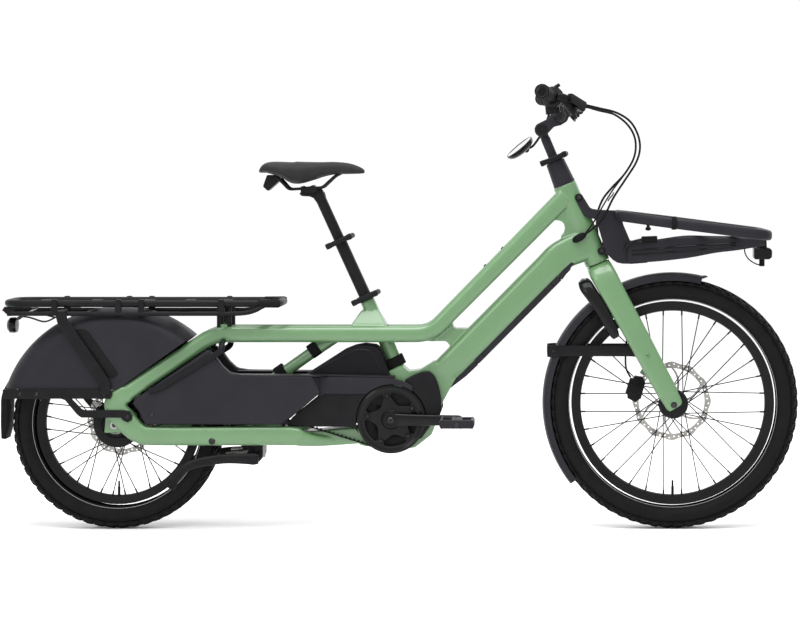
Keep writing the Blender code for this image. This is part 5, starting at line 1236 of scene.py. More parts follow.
def build_bar():
    """Handlebar, ribbed grips, plugs and bands."""
    right = [(x, -y, z) for x, y, z in reversed(BAR_ROWS[1:])]
    rows = []
    for x, y, z in right + BAR_ROWS:
        middle = max(0.0, min(1.0, (0.1 - abs(y)) / 0.05))
        rows.append((x, y, z, 0.011 + 0.0048 * middle, 0.011 + 0.0048 * middle))
    piece("bar_tube", swept(rows, 6, Z_AXIS, 32), "rubber", "cockpit",
          stands_for=("handlebar",))
    for left, side in ((-1, "right"), (1, "left")):
        out = (bar_line(0.1, left) - bar_line(0.0, left)).normalized()
        end = bar_line(0.1368, left)
        start = Z_AXIS.cross(out).normalized()
        profile = [(0.0116, -0.118), (0.0185, -0.118), (0.019, -0.114), (0.0175, -0.11)]
        steps = 26
        for k in range(steps + 1):
            along = -0.108 + 0.096 * k / steps
            swell = 0.016 + 0.0016 * sin(pi * k / steps)
            profile.append((swell + (0.0005 if k % 2 else -0.0003), along))
        profile += [(0.0178, -0.01), (0.0185, -0.006), (0.018, -0.001), (0.015, 0.0008),
                    (0.0116, 0.0008)]
        piece(side + "_grip_skin", spun(profile, end, out, start, 40), "rubber", "cockpit",
              stands_for=(side + "_grip",), crease=40)
        plug = [(0.0, -0.01), (0.0114, -0.01), (0.0114, 0.0012), (0.008, 0.0018),
                (0.0075, -0.001), (0.0, -0.001)]
        piece(side + "_bar_plug", spun(plug, end, out, start, 32), "black_gloss", "cockpit")
        band = [(0.0128, 0.0004), (0.0142, 0.0004), (0.0142, 0.0016), (0.0128, 0.0016)]
        piece(side + "_grip_band", spun(band, end, out, start, 40), "dark_steel", "cockpit")
        build_controls(left, side, out)


def build_controls(left, side, out):
    """Brake lever, its clamp and reservoir, and the switch pod."""
    clamp = bar_line(0.0075, left)
    start = Z_AXIS.cross(out).normalized()
    ring = [(0.0116, -0.006), (0.016, -0.006), (0.017, -0.0045), (0.017, 0.0045),
            (0.016, 0.006), (0.0116, 0.006)]
    piece(side + "_brake_clamp", spun(ring, clamp, out, start, 36), "black_paint", "cockpit",
          stands_for=(side + "_brake_body",), crease=35)
    master = [(0.399, 0.2, 1.0945, 0.008, 0.007), (0.412, 0.195, 1.0915, 0.0095, 0.0095),
              (0.427, 0.18, 1.085, 0.0105, 0.0105), (0.443, 0.16, 1.0785, 0.0105, 0.0105),
              (0.458, 0.132, 1.077, 0.009, 0.009), (0.465, 0.115, 1.0765, 0.0055, 0.0055)]
    piece(side + "_master", swept(sided(master, left), 5, Z_AXIS, 24, 3.2), "black_paint",
          "cockpit")
    tank = loft([((0.43, left * 0.19, 1.09), 0.0125, 0.01),
                 ((0.464, left * 0.148, 1.069), 0.0135, 0.011)], Z_AXIS, 20, 5.0)
    piece(side + "_reservoir", tank, "black_gloss", "cockpit", bevel=0.0012)
    perch = loft([((0.416, left * 0.184, 1.085), 0.0075, 0.008),
                  ((0.45, left * 0.17, 1.044), 0.0065, 0.007)], Y_AXIS, 20, 5.0)
    piece(side + "_lever_perch", perch, "black_paint", "cockpit", bevel=0.001)
    blade = [(0.442, 0.158, 1.0655, 0.0068, 0.0075), (0.444, 0.175, 1.064, 0.0062, 0.0065),
             (0.446, 0.2, 1.059, 0.0052, 0.0045), (0.447, 0.24, 1.051, 0.0056, 0.0034),
             (0.448, 0.28, 1.047, 0.006, 0.0032), (0.45, 0.305, 1.0455, 0.0055, 0.0034)]
    piece(side + "_lever_blade", swept(sided(blade, left), 5, Z_AXIS, 20, 2.6), "black_paint",
          side + "_brake_lever", stands_for=(side + "_brake_lever",))
    pin = bar(Vector((0.442, left * 0.165, 0)), Z_AXIS, 0.003, 1.057, 1.08, 20)
    piece(side + "_lever_pin", pin, "dark_steel", "cockpit")
    if left < 0:
        wrap = [(0.0118, -0.012), (0.024, -0.012), (0.0268, -0.009), (0.0268, 0.006),
                (0.0235, 0.009), (0.0215, 0.014), (0.0118, 0.014)]
        remote = loft([((0.385, -0.152, 1.088), 0.013, 0.017),
                       ((0.39, -0.148, 1.052), 0.013, 0.0185)], Y_AXIS, 24, 4.0)
        piece("motor_remote", remote, "black_paint", "cockpit", bevel=0.0015)
        pod = Vector((0.3895, -0.1665, 1.0922))
    else:
        wrap = [(0.0118, -0.006), (0.0165, -0.006), (0.0185, -0.003), (0.0185, 0.006),
                (0.0118, 0.008)]
        pod = Vector((0.401, 0.12, 1.076))
    bend, before = sided([(0.381, 0.195, 1.096), (0.3985, 0.13, 1.08)], left)
    axis = (Vector(bend) - Vector(before)).normalized()
    piece(side + "_switch_pod", spun(wrap, pod, axis, Z_AXIS.cross(axis).normalized(), 40),
          "black_paint", "cockpit", crease=35)


def build_bell():
    """Thumb lever of the bell."""
    thumb = [(0.389, -0.165, 1.112, 0.006, 0.005), (0.398, -0.164, 1.119, 0.006, 0.005),
             (0.406, -0.164, 1.1245, 0.0045, 0.0042)]
    piece("bell_thumb", swept(thumb, 4, count=16), "black_paint", "cockpit")


def build_mirror():
    """Mirror with its glass, stalk, ball and clamp."""
    slope = radians(39.7)
    toe = radians(9.0)          # turned towards the rider
    face = Vector((-sin(slope) * cos(toe), -sin(toe), cos(slope) * cos(toe)))
    edge = Vector((cos(slope), 0.0, sin(slope)))
    centre = Vector((0.3036, 0.275, 0.9703))
    shell = [(0.0395, 0.0035), (0.041, 0.004), (0.042, 0.002), (0.0415, -0.002),
             (0.038, -0.008), (0.03, -0.0125), (0.018, -0.0155), (0.0, -0.0165), (0.0, 0.002),
             (0.0395, 0.002)]
    piece("mirror_shell", spun(shell, centre, face, edge, 56), "black_gloss", "mirror",
          stands_for=("mirror",), crease=50)
    glass = [(0.0, 0.0016), (0.0392, 0.0016), (0.0392, 0.0034), (0.038, 0.0038), (0.0, 0.0038)]
    piece("mirror_pane", spun(glass, centre, face, edge, 56), "mirror_glass", "mirror", crease=50)
    stalk = [(0.3845, 0.179, 1.0815), (0.38, 0.19, 1.055), (0.365, 0.23, 1.015),
             (0.345, 0.26, 0.983), (0.332, 0.272, 0.971), (0.318, 0.275, 0.972)]
    piece("mirror_stalk", tube(stalk, 0.0032), "black_paint", "mirror")
    ball = spun([(0.0, -0.0085), (0.006, -0.0062), (0.0085, 0.0), (0.006, 0.0062), (0.0, 0.0085)],
                centre - face * 0.015 + edge * 0.01, face, edge, 24)
    piece("mirror_ball", ball, "black_paint", "mirror", crease=80)
    out = (Vector(BAR_ROWS[-2]) - Vector(BAR_ROWS[-3])).normalized()
    ring = [(0.012, -0.0045), (0.0158, -0.0045), (0.0165, 0.0), (0.0158, 0.0045), (0.012, 0.0045)]
    piece("mirror_clamp", spun(ring, Vector((0.3858, 0.179, 1.0939)), out,
                               Z_AXIS.cross(out).normalized(), 32), "black_paint", "mirror")


# ---------------------------------------------------------------- hoses
HOSES = {
    "rear_brake_hose": (0.0028, [
        (0.465, -0.113, 1.076), (0.505, -0.095, 1.067), (0.55, -0.075, 1.056),
        (0.585, -0.06, 1.034), (0.605, -0.05, 1.0), (0.61, -0.048, 0.965),
        (0.6, -0.048, 0.93), (0.574, -0.05, 0.889), (0.542, -0.053, 0.84),
        (0.517, -0.054, 0.79), (0.491, -0.05, 0.764), (0.472, -0.04, 0.749)]),
    "front_brake_hose": (0.0028, [
        (0.465, 0.113, 1.076), (0.505, 0.095, 1.069), (0.55, 0.075, 1.054),
        (0.585, 0.06, 1.025), (0.602, 0.05, 0.988), (0.599, 0.048, 0.945),
        (0.575, 0.05, 0.902), (0.542, 0.054, 0.866), (0.517, 0.06, 0.833),
        (0.504, 0.066, 0.79), (0.508, 0.072, 0.73), (0.527, 0.077, 0.67),
        (0.545, 0.07, 0.62)]),
    "switch_cable": (0.002, [
        (0.412, -0.164, 1.086), (0.45, -0.13, 1.076), (0.5, -0.085, 1.062),
        (0.55, -0.064, 1.049), (0.583, -0.05, 1.02), (0.599, -0.042, 0.985),
        (0.596, -0.04, 0.946), (0.574, -0.044, 0.905), (0.542, -0.048, 0.862),
        (0.517, -0.05, 0.822), (0.495, -0.05, 0.783), (0.47, -0.039, 0.748)]),
}


def build_hoses():
    """Each hose in two or three lengths along its route."""
    for name, (radius, route) in HOSES.items():
        curve = smooth_points(route, 6)
        first, second, last = len(curve) // 3, 2 * len(curve) // 3, len(curve) - 1
        spans = [(0, first, "cockpit", "stem_slide"), (first, second, "stem_slide", "steering"),
                 (second, last, "steering", "frame")]
        if name == "front_brake_hose":
            spans[1:] = [(first, last, "stem_slide", "steering")]
        for number, (low, high, near, far) in enumerate(spans):
            path = curve[low:high + 1]
            bm = loft([(point, radius, radius) for point in path], X_AXIS + Y_AXIS * 0.5, 12)
            mesh = smooth_mesh(name, bm)
            mesh.materials.append(MATERIALS["rubber"])
            item = add_object(name + "_" + "abc"[number], mesh)
            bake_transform(item)
            if number == 0 and name.endswith("hose"):
                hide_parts(name)
    clip = tube([(0.529, -0.049, 0.833), (0.533, -0.056, 0.84), (0.54, -0.056, 0.848),
                 (0.543, -0.049, 0.854)], 0.0016, 5, 10)
    piece("hose_clip", clip, "black_paint", "frame")


# ---------------------------------------------------------------- front rack
def rack_height(x):
    """Height of the front carrier's sloping rail."""
    return 0.796 - (x - 0.556) * 0.128


def build_front_rack():
    """Front carrier: sloping rail, cheeks, beams, slats and strap parts."""
    wide = 0.165
    corners = [(0.556, 0, rack_height(0.556)), (0.556, -0.09, rack_height(0.556)),
               (0.676, -wide, rack_height(0.676)), (0.928, -wide, rack_height(0.928)),
               (0.928, wide, rack_height(0.928)), (0.676, wide, rack_height(0.676)),
               (0.556, 0.09, rack_height(0.556)), (0.556, 0, rack_height(0.556))]
    loop = pipe(corners, 0.045, 0.013, Z_AXIS, 28, 3.0, flat=0.01, closed=True)
    piece("rack_loop", loop, "charcoal", "frame", stands_for=("front_rack",))
    for x in (0.675, 0.76, 0.845):
        z = rack_height(x)
        slat = slab([(x - 0.012, z - 0.006), (x + 0.012, z - 0.007), (x + 0.012, z + 0.001),
                     (x - 0.012, z + 0.001)], -wide, wide)
        piece("front_slat", slat, "charcoal", "frame", bevel=0.0012)
    top, bottom = steer(0.1735, 0.0204), steer(0.0262, 0.0215)
    cheek = arc(xz(top), 0.0105, 200, 35, 12)
    cheek += [(0.4833, 0.817), (0.49, 0.8125), (0.5043, 0.8101), (0.55, 0.808),
              (0.564, 0.79), (0.569, 0.772), (0.5864, 0.731), (0.63, 0.731),
              (0.63, 0.676), (0.59, 0.673), (0.5675, 0.6735), (0.554, 0.676),
              (0.5422, 0.683), (0.529, 0.696)]
    cheek += arc(xz(bottom), 0.0105, -60, -230, 10)
    cheek += [(0.516, 0.72), (0.5169, 0.7289), (0.51, 0.753), (0.5043, 0.771),
              (0.501, 0.783), (0.4959, 0.787), (0.4791, 0.7899), (0.4685, 0.7962)]
    for left in (-1, 1):
        piece("rack_cheek", slab(cheek, *sides(left, 0.0235, 0.032)), "charcoal", "frame",
              bevel=0.002)
        for at in (top, bottom):
            boss = bar(Vector((at.x, 0, at.z)), Y_AXIS, 0.0098, *sides(left, 0.03, 0.0345), 32)
            piece("cheek_boss", boss, "black_paint", "frame", bevel=0.001)
            screw("cheek_bolt", at + Y_AXIS * left * 0.0345, Y_AXIS * left, 0.0055, "frame")
        beam = [(0.58, 0.033, 0.702, 0.006, 0.027), (0.65, 0.04, 0.706, 0.0065, 0.0265),
                (0.73, 0.05, 0.716, 0.0065, 0.027), (0.8, 0.058, 0.722, 0.0065, 0.02),
                (0.856, 0.064, 0.725, 0.0065, 0.016), (0.925, 0.07, 0.731, 0.0065, 0.01)]
        piece("lower_beam", swept(sided(beam, left), 6, count=28, power=4.0), "charcoal", "frame")
        for drop in (0.0, 0.011):
            rib = [(x, left * y, z - drop * share, 0.0026, 0.002) for x, y, z, share in
                   ((0.59, 0.0395, 0.708, 1.0), (0.65, 0.0465, 0.712, 1.0),
                    (0.73, 0.0565, 0.719, 1.0), (0.8, 0.064, 0.724, 0.9),
                    (0.85, 0.07, 0.727, 0.6))]
            piece("beam_rib", swept(rib, 5, count=12), "black_gloss", "frame")
    between = [(0.498, 0.806), (0.55, 0.805), (0.56, 0.786), (0.582, 0.734),
               (0.582, 0.682), (0.568, 0.677), (0.544, 0.686), (0.548, 0.72),
               (0.52, 0.786)]
    piece("rack_neck", slab(between, -0.0236, 0.0236), "charcoal", "frame", bevel=0.0015)
    for x, z, half in ((0.615, 0.686, 0.034), (0.67, 0.691, 0.04), (0.73, 0.698, 0.048),
                       (0.8, 0.711, 0.056), (0.87, 0.72, 0.062)):
        piece("beam_cross", loft([((x, -half, z), 0.0035, 0.008), ((x, half, z), 0.0035, 0.008)],
                                 Z_AXIS, 16, 3.0), "charcoal", "frame")
    band = [(0.69, y, rack_height(0.69) + rise, 0.006, 0.0012) for y, rise in
            ((-0.178, 0.0), (-0.174, 0.012), (-0.165, 0.0165), (-0.152, 0.0115),
             (-0.151, -0.011), (-0.165, -0.0145), (-0.177, -0.011))]
    loop_band = swept(band, 5, X_AXIS, 14, 4.0, True)
    piece("strap_loop", loop_band, "strap", "frame")
    knob = [(0.0, 0.0), (0.004, 0.0), (0.004, 0.01), (0.007, 0.013), (0.007, 0.018),
            (0.0, 0.02)]
    under_rail = Vector((0.629, -0.09, rack_height(0.629) - 0.008))
    piece("strap_knob", spun(knob, under_rail, -Z_AXIS, X_AXIS, 20), "rubber", "frame", crease=40)
    buckle = loft([((0.614, -0.047, 0.736), 0.004, 0.0075),
                   ((0.654, -0.05, 0.738), 0.004, 0.007)], count=16, power=4.0)
    piece("strap_buckle", buckle, "strap", "frame", bevel=0.0015)
    cord = [(0.572, -0.04, 0.706), (0.576, -0.044, 0.718), (0.59, -0.046, 0.729),
            (0.616, -0.047, 0.736)]
    piece("strap_tail", tube(cord, 0.0034, 6, 14), "black_gloss", "frame")


def build_front_light():
    """Head light with its lens, bracket, plug and wire."""
    shell = [(0.901, 0.688), (0.904, 0.684), (0.94, 0.684), (0.947, 0.69),
             (0.947, 0.708), (0.94, 0.714), (0.901, 0.714)]
    piece("head_light", slab(shell, -0.024, 0.024), "black_gloss", "frame",
          stands_for=("front_light",), bevel=0.003)
    lens = loft([((0.944, 0, 0.699), 0.019, 0.0085), ((0.949, 0, 0.699), 0.018, 0.0078)],
                count=24, power=4.0)
    piece("head_lens", lens, "clear_lens", "frame")
    holder = [(0.908, 0.712), (0.935, 0.712), (0.933, 0.76), (0.916, 0.758)]
    piece("light_bracket", slab(holder, -0.012, 0.012), "black_paint", "frame", bevel=0.0015)
    piece("light_plug", bar(Vector((0.923, 0, 0)), Z_AXIS, 0.007, 0.666, 0.686, 20), "rubber",
          "frame", bevel=0.0015)
    wire = [(0.923, 0.0, 0.668), (0.908, 0.004, 0.672), (0.892, 0.008, 0.682),
            (0.882, 0.01, 0.696), (0.88, 0.012, 0.712), (0.886, 0.014, 0.724)]
    piece("light_wire", tube(wire, 0.0016, 6, 10), "rubber", "frame")


# ---------------------------------------------------------------- drive
def build_drive():
    """Belt ring with its guard, both crank arms, the spindle and the pedals."""
    centre = xz(CRANK_AXIS)
    windows = []
    for k in range(5):
        middle = radians(64 + 72 * k)
        window = [polar(centre, 0.0675, middle - 0.44 + 0.88 * step / 10) for step in range(11)]
        for step in range(13):
            angle = middle + 0.5 - 1.0 * step / 12
            out = 0.0395 + 0.019 * ((angle - middle) / 0.5) ** 2
            window.append(polar(centre, out, angle))
        windows.append(window)
    ring = plate([toothed(centre, RING_RADIUS, 46)] + windows, BELT_Y - 0.0055, BELT_Y + 0.0055)
    piece("belt_ring", ring, "black_paint", "crank", stands_for=("right_crank",), bevel=0.0006)
    guard = plate([arc(centre, 0.0862, 0, 356, 89)] + windows, -0.057, -0.0545)
    piece("ring_guard", guard, "black_gloss", "crank", bevel=0.0008)
    dish = spun([(0.074, -0.057), (0.08, -0.059), (0.085, -0.0575), (0.085, -0.0565),
                 (0.074, -0.056)], CRANK_AXIS, count=96)
    piece("ring_rib", dish, "black_gloss", "crank")
    for k in range(5):
        angle = radians(28 + 72 * k)
        place = CRANK_AXIS + Vector((0.06 * cos(angle), -0.0572, 0.06 * sin(angle)))
        piece("ring_boss", bar(place, Y_AXIS, 0.0075, -0.003, 0.001, 24), "black_paint", "crank",
              bevel=0.0008)
        screw("ring_bolt", place - Y_AXIS * 0.003, -Y_AXIS, 0.0045, "crank")
    hub = spun([(0.0, -0.05), (0.026, -0.05), (0.026, -0.06), (0.02, -0.068),
                (0.019, -0.08), (0.013, -0.081), (0.0125, -0.0785), (0.0, -0.0785)],
               CRANK_AXIS, count=56)
    piece("crank_hub", hub, "black_paint", "crank", crease=30)
    for left, name in ((-1, "right"), (1, "left")):
        ahead = 1 if left < 0 else -1
        rows = [(-0.016, 0.072, 0.0072, 0.012), (-0.004, 0.0722, 0.0078, 0.0168),
                (0.015, 0.0726, 0.0076, 0.0165), (0.06, 0.0745, 0.007, 0.0145),
                (0.11, 0.0775, 0.0066, 0.0135), (0.155, 0.0798, 0.0066, 0.0132),
                (0.174, 0.0802, 0.0066, 0.0125), (0.182, 0.0802, 0.006, 0.008)]
        arm = [(CRANK_AXIS.x + ahead * x, left * y, CRANK_AXIS.z, thick, tall)
               for x, y, thick, tall in rows]
        piece(name + "_arm", swept(arm, 5, count=32, power=3.6), "black_gloss", "crank",
              stands_for=("left_crank",) if left > 0 else ())
        tip = CRANK_AXIS + Vector((ahead * 0.17, 0.0, 0.0))
        piece(name + "_spindle", bar(tip, Y_AXIS, 0.006, *sides(left, 0.075, 0.188), 24),
              "dark_steel", "crank")
        screw(name + "_crank_bolt", CRANK_AXIS + Y_AXIS * left * 0.079, Y_AXIS * left, 0.008,
              "crank")
        build_pedal(name + "_pedal", tip, left)
    piece("spindle_tube", bar(CRANK_AXIS, Y_AXIS, 0.0095, -0.07, 0.074, 32), "dark_steel",
          "crank")
    hub = spun([(0.0, 0.065), (0.019, 0.065), (0.019, 0.079), (0.013, 0.081), (0.0, 0.081)],
               CRANK_AXIS, count=48)
    piece("left_crank_hub", hub, "black_paint", "crank", crease=30)


def build_pedal(name, tip, left):
    """Platform pedal: a body over the spindle, two side rails and tread pins."""
    low, high = sides(left, 0.0975, 0.185)
    shape = [(-0.043, -0.005), (-0.04, -0.0105), (0.04, -0.0105), (0.043, -0.005),
             (0.043, 0.005), (0.04, 0.0105), (-0.04, 0.0105), (-0.043, 0.005)]
    outline = [(tip.x + x, tip.z + z) for x, z in shape]
    body = piece(name + "_body", slab(outline, low, high), "charcoal", name, stands_for=(name,),
                 bevel=0.002)
    freeze(body)
    cut(body, bar(tip, Y_AXIS, 0.0064, -0.3, 0.3, 24))
    for ahead in (-1, 1):
        x = tip.x + ahead * 0.024
        cut(body, block((x - 0.011, low + 0.012, tip.z - 0.05),
                        (x + 0.011, high - 0.012, tip.z + 0.05)))
    reshade(body, 30)
    pins = []
    for x in (-0.038, 0.038, -0.009, 0.009):
        for part in range(5):
            y = low + 0.008 + (high - low - 0.016) * part / 4
            for rise in (-1, 1):
                base = Vector((tip.x + x, y, tip.z))
                span = sorted((rise * 0.008, rise * 0.0122))
                pins.append(bar(base, Z_AXIS, 0.0016, span[0], span[1], 8))
    piece(name + "_pins", merge(bmesh.new(), *pins), "steel", name)
    reflector = []
    for ahead in (-1, 1):
        x = tip.x + ahead * 0.042
        reflector.append(block((x - 0.0013, low + 0.018, tip.z - 0.005),
                               (x + 0.0016, high - 0.018, tip.z + 0.005)))
    piece(name + "_reflector", merge(bmesh.new(), *reflector), "stripe", name)


def belt_line(offset):
    """Belt round ring, idler and sprocket at an offset from their rims."""
    points = arc(xz(CRANK_AXIS), RING_RADIUS + offset, 93, -107.5, 48)
    points += arc((-0.2834, 0.2645), 0.013 + 0.0035 - offset, 72.0, 96.0, 6)
    points += arc(xz(REAR_AXLE), 0.0335 + offset, -83.5, -267, 30)
    return points


def build_belt():
    """Belt band with teeth on its free runs, rear sprocket and idler."""
    bm = bmesh.new()
    low, high = BELT_Y - 0.005, BELT_Y + 0.005
    rings = []
    for (x0, z0), (x1, z1) in zip(belt_line(0.0004), belt_line(0.0029)):
        rings.append([bm.verts.new(point) for point in
                      ((x0, low, z0), (x1, low, z1), (x1, high, z1), (x0, high, z0))])
    skin(bm, rings, closed=True)
    piece("belt_band", bm, "rubber", "frame", stands_for=("drive_belt",), crease=25)
    line = [Vector((x, 0.0, z)) for x, z in belt_line(0.0008)]
    lengths = [(b - a).length for a, b in zip(line, line[1:] + line[:1])]
    total = sum(lengths)
    count = round(total / 0.011)
    cogs = bmesh.new()
    for number in range(count):
        goal = total * number / count
        step = 0
        while goal > lengths[step]:
            goal -= lengths[step]
            step += 1
        start, end = line[step], line[(step + 1) % len(line)]
        along = (end - start).normalized()
        inward = Vector((-along.z, 0.0, along.x)) * -1.0
        middle = start + along * goal
        if (middle - CRANK_AXIS).length < 0.084 or (middle - REAR_AXLE).length < 0.038:
            continue
        rings = []
        for depth, half in ((0.0, 0.0029), (0.0022, 0.0022), (0.0032, 0.0012)):
            centre = middle + inward * depth
            rings.append([cogs.verts.new(centre + along * ahead + Y_AXIS * y) for ahead, y in
                          ((-half, low), (half, low), (half, high), (-half, high))])
        skin(cogs, rings)
    piece("belt_teeth", cogs, "rubber", "frame", crease=25)
    centre = xz(REAR_AXLE)
    outlines = [toothed(centre, SPROCKET_RADIUS, 22), arc(centre, 0.019, 0, 350, 35)]
    outlines += [arc(polar(centre, 0.0255, 2 * pi * k / 8), 0.0028, 0, 330, 11) for k in range(8)]
    piece("sprocket_plate", plate(outlines, -0.0533, -0.0407), "black_paint", "rear_sprocket",
          stands_for=("rear_sprocket",), bevel=0.0005)
    ring = [(0.0232, -0.053), (0.0246, -0.053), (0.0246, -0.0542), (0.0232, -0.0542)]
    piece("sprocket_ring", spun(ring, REAR_AXLE, count=64), "steel", "rear_sprocket")
    wheel = [(0.004, -0.006), (0.0125, -0.006), (0.013, -0.0055), (0.013, 0.0055),
             (0.0125, 0.006), (0.004, 0.006)]
    piece("idler_wheel", spun(wheel, IDLER, count=40), "black_gloss", "belt_idler",
          stands_for=("belt_idler",))
    piece("idler_pin", bar(IDLER, Y_AXIS, 0.0037, -0.016, 0.008, 20), "steel", "frame")


def build_motor():
    """Motor case with its nose fairings and the left cover."""
    outline = [(0.01, 0.37), (0.07, 0.379), (0.085, 0.348), (0.088, 0.31),
               (0.082, 0.266), (0.056, 0.233), (0.01, 0.214), (-0.04, 0.214),
               (-0.072, 0.227), (-0.079, 0.256), (-0.06, 0.293), (-0.014, 0.318)]
    unit = piece("motor_case", slab(outline, -0.0385, 0.046), "black_paint", "frame",
                 stands_for=("motor_unit",), bevel=0.004)
    freeze(unit)
    cut(unit, bar(CRANK_AXIS, Y_AXIS, 0.0125, -0.1, 0.1, 32))
    reshade(unit, 30)
    centre = xz(CRANK_AXIS)
    nose = [(0.102, 0.287), (0.1085, 0.305), (0.108, 0.325), (0.103, 0.355),
            (0.096, 0.378), (0.088, 0.393), (0.076, 0.402), (0.06, 0.402),
            (0.04, 0.394), (0.015, 0.381)]
    hollow = arc(centre, MOTOR_RADIUS, 64, 6, 20)
    for left in (-1, 1):
        piece("motor_nose", slab(hollow + nose, *sides(left, 0.038, 0.056)), "black_paint",
              "frame", bevel=0.003)
    back = arc(centre, 0.0895, 0, 356, 60)
    piece("left_motor_cover", slab(back, 0.0465, 0.056), "black_paint", "frame", bevel=0.004)


def build_battery():
    """Battery in the down tube and the belly covers at both its ends."""
    rows = [(tube_point(along, 0.0115), 0.0349, half) for along, half in
            ((0.075, 0.0345), (0.078, 0.0358), (0.372, 0.0358), (0.375, 0.0345))]
    piece("battery_case", loft(rows, count=48, power=7.0), "charcoal", "battery",
          stands_for=("battery",), bevel=0.002)
    for along in (0.1, 0.35):
        seam = loft([(tube_point(along - 0.001, 0.034), 0.0351, 0.0137),
                     (tube_point(along + 0.001, 0.034), 0.0351, 0.0137)], count=40, power=7.0)
        piece("battery_seam", seam, "black_gloss", "battery")
    upper = [(0.3764, 0.03), (0.3764, 0.047), (0.395, 0.044), (0.41, 0.044),
             (0.414, 0.041), (0.426, 0.04), (0.426, 0.03)]
    lower = [(0.0736, 0.03), (0.0736, 0.047), (0.03, 0.0455), (-0.02, 0.0385),
             (-0.02, 0.03)]
    for name, outline in (("belly_front", upper), ("belly_rear", lower)):
        corners = [xz(tube_point(along, down)) for along, down in outline]
        piece(name, slab(corners, -0.034, 0.034), "charcoal", "frame", bevel=0.0015)


# ---------------------------------------------------------------- seat
def build_seat():
    """Both seat posts, the clamp head, the rails and the saddle."""
    collar = 0.341
    profile = [(0.0138, 0.09), (0.0156, 0.09), (0.0156, collar), (0.02, collar + 0.001),
               (0.0205, collar + 0.003), (0.0205, 0.353), (0.0195, 0.355), (0.0138, 0.355)]
    piece("lower_post_tube", spun(profile, SEAT_BASE, SEAT_UP, Y_AXIS, 56), "black_paint",
          "lower_post", stands_for=("lower_seat_post",), crease=30)
    upper = [(0.0, 0.2), (0.0136, 0.2), (0.0136, 0.462), (0.0155, 0.47), (0.016, 0.479),
             (0.0, 0.479)]
    piece("upper_post_tube", spun(upper, SEAT_BASE, SEAT_UP, Y_AXIS, 56), "black_paint",
          "upper_post", stands_for=("upper_seat_post",), crease=30)
    neck = [(-0.256, 0.851), (-0.25, 0.845), (-0.23, 0.844), (-0.22, 0.84),
            (-0.208, 0.825), (-0.188, 0.838), (-0.197, 0.86), (-0.203, 0.8655),
            (-0.212, 0.864), (-0.25, 0.858)]
    piece("post_head", slab(neck, -0.015, 0.015), "black_paint", "upper_post", bevel=0.0025)
    clamp = [(-0.2513, 0.855), (-0.2513, 0.87), (-0.24, 0.869), (-0.229, 0.87),
             (-0.218, 0.874), (-0.214, 0.864), (-0.206, 0.86), (-0.22, 0.853)]
    piece("rail_clamp", slab(clamp, -0.027, 0.027), "black_paint", "upper_post", bevel=0.002)
    for ahead in (-1, 1):
        place = Vector((-0.234 + ahead * 0.011, 0.0, 0.869))
        screw("cradle_bolt", place, Z_AXIS, 0.004, "upper_post", height=0.002)
    half = [(-0.312, -0.04, 0.896), (-0.297, -0.033, 0.88), (-0.281, -0.024, 0.8622),
            (-0.196, -0.022, 0.8668), (-0.165, -0.016, 0.896), (-0.145, -0.008, 0.906)]
    rail = half + [(x, -y, z) for x, y, z in reversed(half)]
    piece("saddle_rail", pipe(rail + [rail[0]], 0.008, 0.0037, Z_AXIS, 14, closed=True),
          "black_paint", "upper_post")
    rows = [(-0.3545, 0, 0.9066, 0.045, 0.003), (-0.349, 0, 0.9105, 0.066, 0.0075),
            (-0.3376, 0, 0.9162, 0.079, 0.0132), (-0.3202, 0, 0.9165, 0.084, 0.0166),
            (-0.29, 0, 0.9108, 0.083, 0.0218), (-0.264, 0, 0.9046, 0.073, 0.0285),
            (-0.2268, 0, 0.9084, 0.056, 0.024), (-0.195, 0, 0.9132, 0.042, 0.0188),
            (-0.165, 0, 0.9161, 0.031, 0.0161), (-0.1298, 0, 0.9147, 0.026, 0.0138),
            (-0.1007, 0, 0.9096, 0.021, 0.0082), (-0.0915, 0, 0.905, 0.012, 0.003)]
    saddle = piece("saddle_pad", swept(rows, 6, count=48, power=2.8), "saddle_skin", "upper_post",
                   stands_for=("saddle",))
    tail = [(-0.3376, 0.899), (-0.348, 0.8694), (-0.3348, 0.8577), (-0.3085, 0.8811),
            (-0.3, 0.899)]
    piece("saddle_tail", slab(tail, -0.022, 0.022), "black_paint", "upper_post", bevel=0.003)


def build_bag():
    """Bag between the tubes, with a zip on each side."""
    outline = [(-0.26, 0.373), (-0.25, 0.384), (-0.165, 0.438), (-0.14, 0.454),
               (-0.115, 0.464), (-0.09, 0.4685), (-0.062, 0.465), (-0.048, 0.456),
               (-0.0205, 0.386), (-0.0245, 0.373)]
    bag = piece("bag_body", slab(outline, -0.0515, 0.0515), "bag_fabric", "frame",
                stands_for=("storage_bag",), bevel=0.01, segments=5)
    zipper = [(-0.23, 0.05, 0.392), (-0.165, 0.0505, 0.429), (-0.115, 0.0505, 0.454),
              (-0.085, 0.0505, 0.456), (-0.068, 0.05, 0.448), (-0.045, 0.05, 0.406)]
    for left in (-1, 1):
        piece("bag_zip", tube(sided(zipper, left), 0.0022, 6, 12), "black_gloss", "frame")


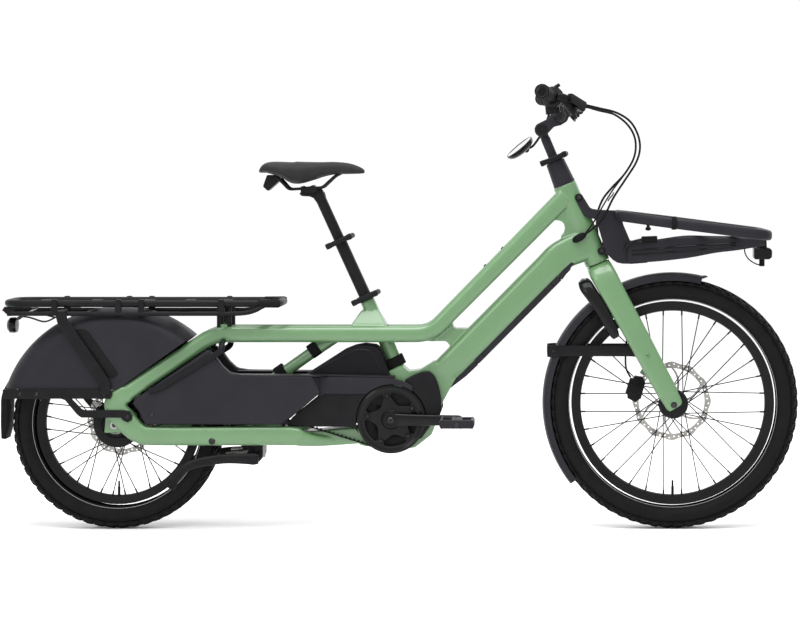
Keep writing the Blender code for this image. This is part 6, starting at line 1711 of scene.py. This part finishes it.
def build_stand():
    """Folded centre stand: shaft, legs, feet and springs."""
    shaft = bar(STAND_PIVOT, Y_AXIS, 0.008, -0.085, 0.085, 28)
    piece("stand_shaft", shaft, "dark_steel", "centre_stand", stands_for=("centre_stand",))
    leg = [(-0.352, 0.077, 0.183, 0.007, 0.012), (-0.365, 0.078, 0.1835, 0.009, 0.015),
           (-0.385, 0.079, 0.184, 0.009, 0.0135), (-0.43, 0.082, 0.185, 0.009, 0.0125),
           (-0.47, 0.086, 0.181, 0.009, 0.012), (-0.51, 0.095, 0.174, 0.009, 0.0115),
           (-0.535, 0.105, 0.162, 0.009, 0.011), (-0.554, 0.115, 0.14, 0.0095, 0.011),
           (-0.566, 0.12, 0.123, 0.011, 0.0115)]
    foot = [(-0.56, 0.118, 0.132, 0.0125, 0.0125), (-0.567, 0.1205, 0.1215, 0.014, 0.013),
            (-0.571, 0.122, 0.115, 0.0135, 0.012)]
    spring_turns = 15
    for left in (-1, 1):
        piece("stand_leg", swept(sided(leg, left), 5, count=28, power=2.8), "black_paint",
              "centre_stand")
        piece("stand_foot", swept(sided(foot, left), 3, count=24, power=3.0), "rubber",
              "centre_stand", bevel=0.0015)
        spring = []
        for k in range(91):
            t = k / 90
            angle = 2 * pi * spring_turns * t
            spring.append((-0.382 - 0.056 * t, left * 0.059 + 0.0042 * cos(angle),
                           0.2 - 0.006 * t + 0.0042 * sin(angle)))
        piece("stand_spring", loft([(p, 0.001, 0.001) for p in spring], Y_AXIS, 8), "steel",
              "frame")


# ---------------------------------------------------------------- stage
def build_stage():
    """Pale floor, soft lights and the camera at the photograph's angle."""
    floor = bmesh.new()
    size = 200.0
    floor.faces.new([floor.verts.new(p) for p in
                     ((-size, -size, 0), (size, -size, 0), (size, size, 0), (-size, size, 0))])
    mesh = bpy.data.meshes.new("floor")
    floor.to_mesh(mesh)
    floor.free()
    item = add_object("floor", mesh)
    item.location.z = -0.0006
    pale, rough = (0.98, 0.98, 0.98), 0.85
    ground = new_material("studio_floor", pale, rough)
    mesh.materials.append(vary(ground, pale, 0.005, 2, rough, 0.03, 0.02, 40))
    world = bpy.data.worlds.new("studio")
    world.use_nodes = True
    world.node_tree.nodes["Background"].inputs["Color"].default_value = (1.0, 1.0, 1.0, 1.0)
    world.node_tree.nodes["Background"].inputs["Strength"].default_value = 1.04
    bpy.context.scene.world = world
    bpy.context.scene.view_settings.view_transform = "Standard"
    for name, at, aim, size, power in (
            ("top_box", (0.0, -0.9, 3.2), (0.0, 0.0, 0.4), 2.6, 125.0),
            ("key_box", (-2.6, -4.2, 2.6), (0.0, 0.0, 0.5), 1.8, 40.0),
            ("rim_box", (2.6, 3.2, 2.4), (0.2, 0.0, 0.5), 2.4, 30.0)):
        light = bpy.data.lights.new(name, "AREA")
        light.shape = "SQUARE"
        light.size = size
        light.energy = power
        lamp = add_object(name, light)
        lamp.location = at
        lamp.rotation_euler = (Vector(aim) - Vector(at)).to_track_quat("-Z", "Y").to_euler()
    camera = bpy.data.cameras.new("camera")
    camera.lens = 112.9
    camera.sensor_width = 36.0
    camera.shift_x = -0.175
    camera.shift_y = -0.1773
    view = add_object("camera", camera)
    view.location = (0.357, -6.4, 0.92)
    view.rotation_euler = (pi / 2, 0.0, 0.0)
    bpy.context.scene.camera = view


for build in (
        build_green_frame, build_frame_trim, build_covers, build_wheel_cover, build_struts,
        build_rear_rack, build_wheels, build_axles, build_fork, build_calipers,
        build_front_mudguard, build_levers, build_stem, build_bar, build_bell, build_mirror,
        build_hoses, build_front_rack, build_front_light, build_drive, build_belt, build_motor,
        build_battery, build_seat, build_bag, build_stand, build_stage):
    build()
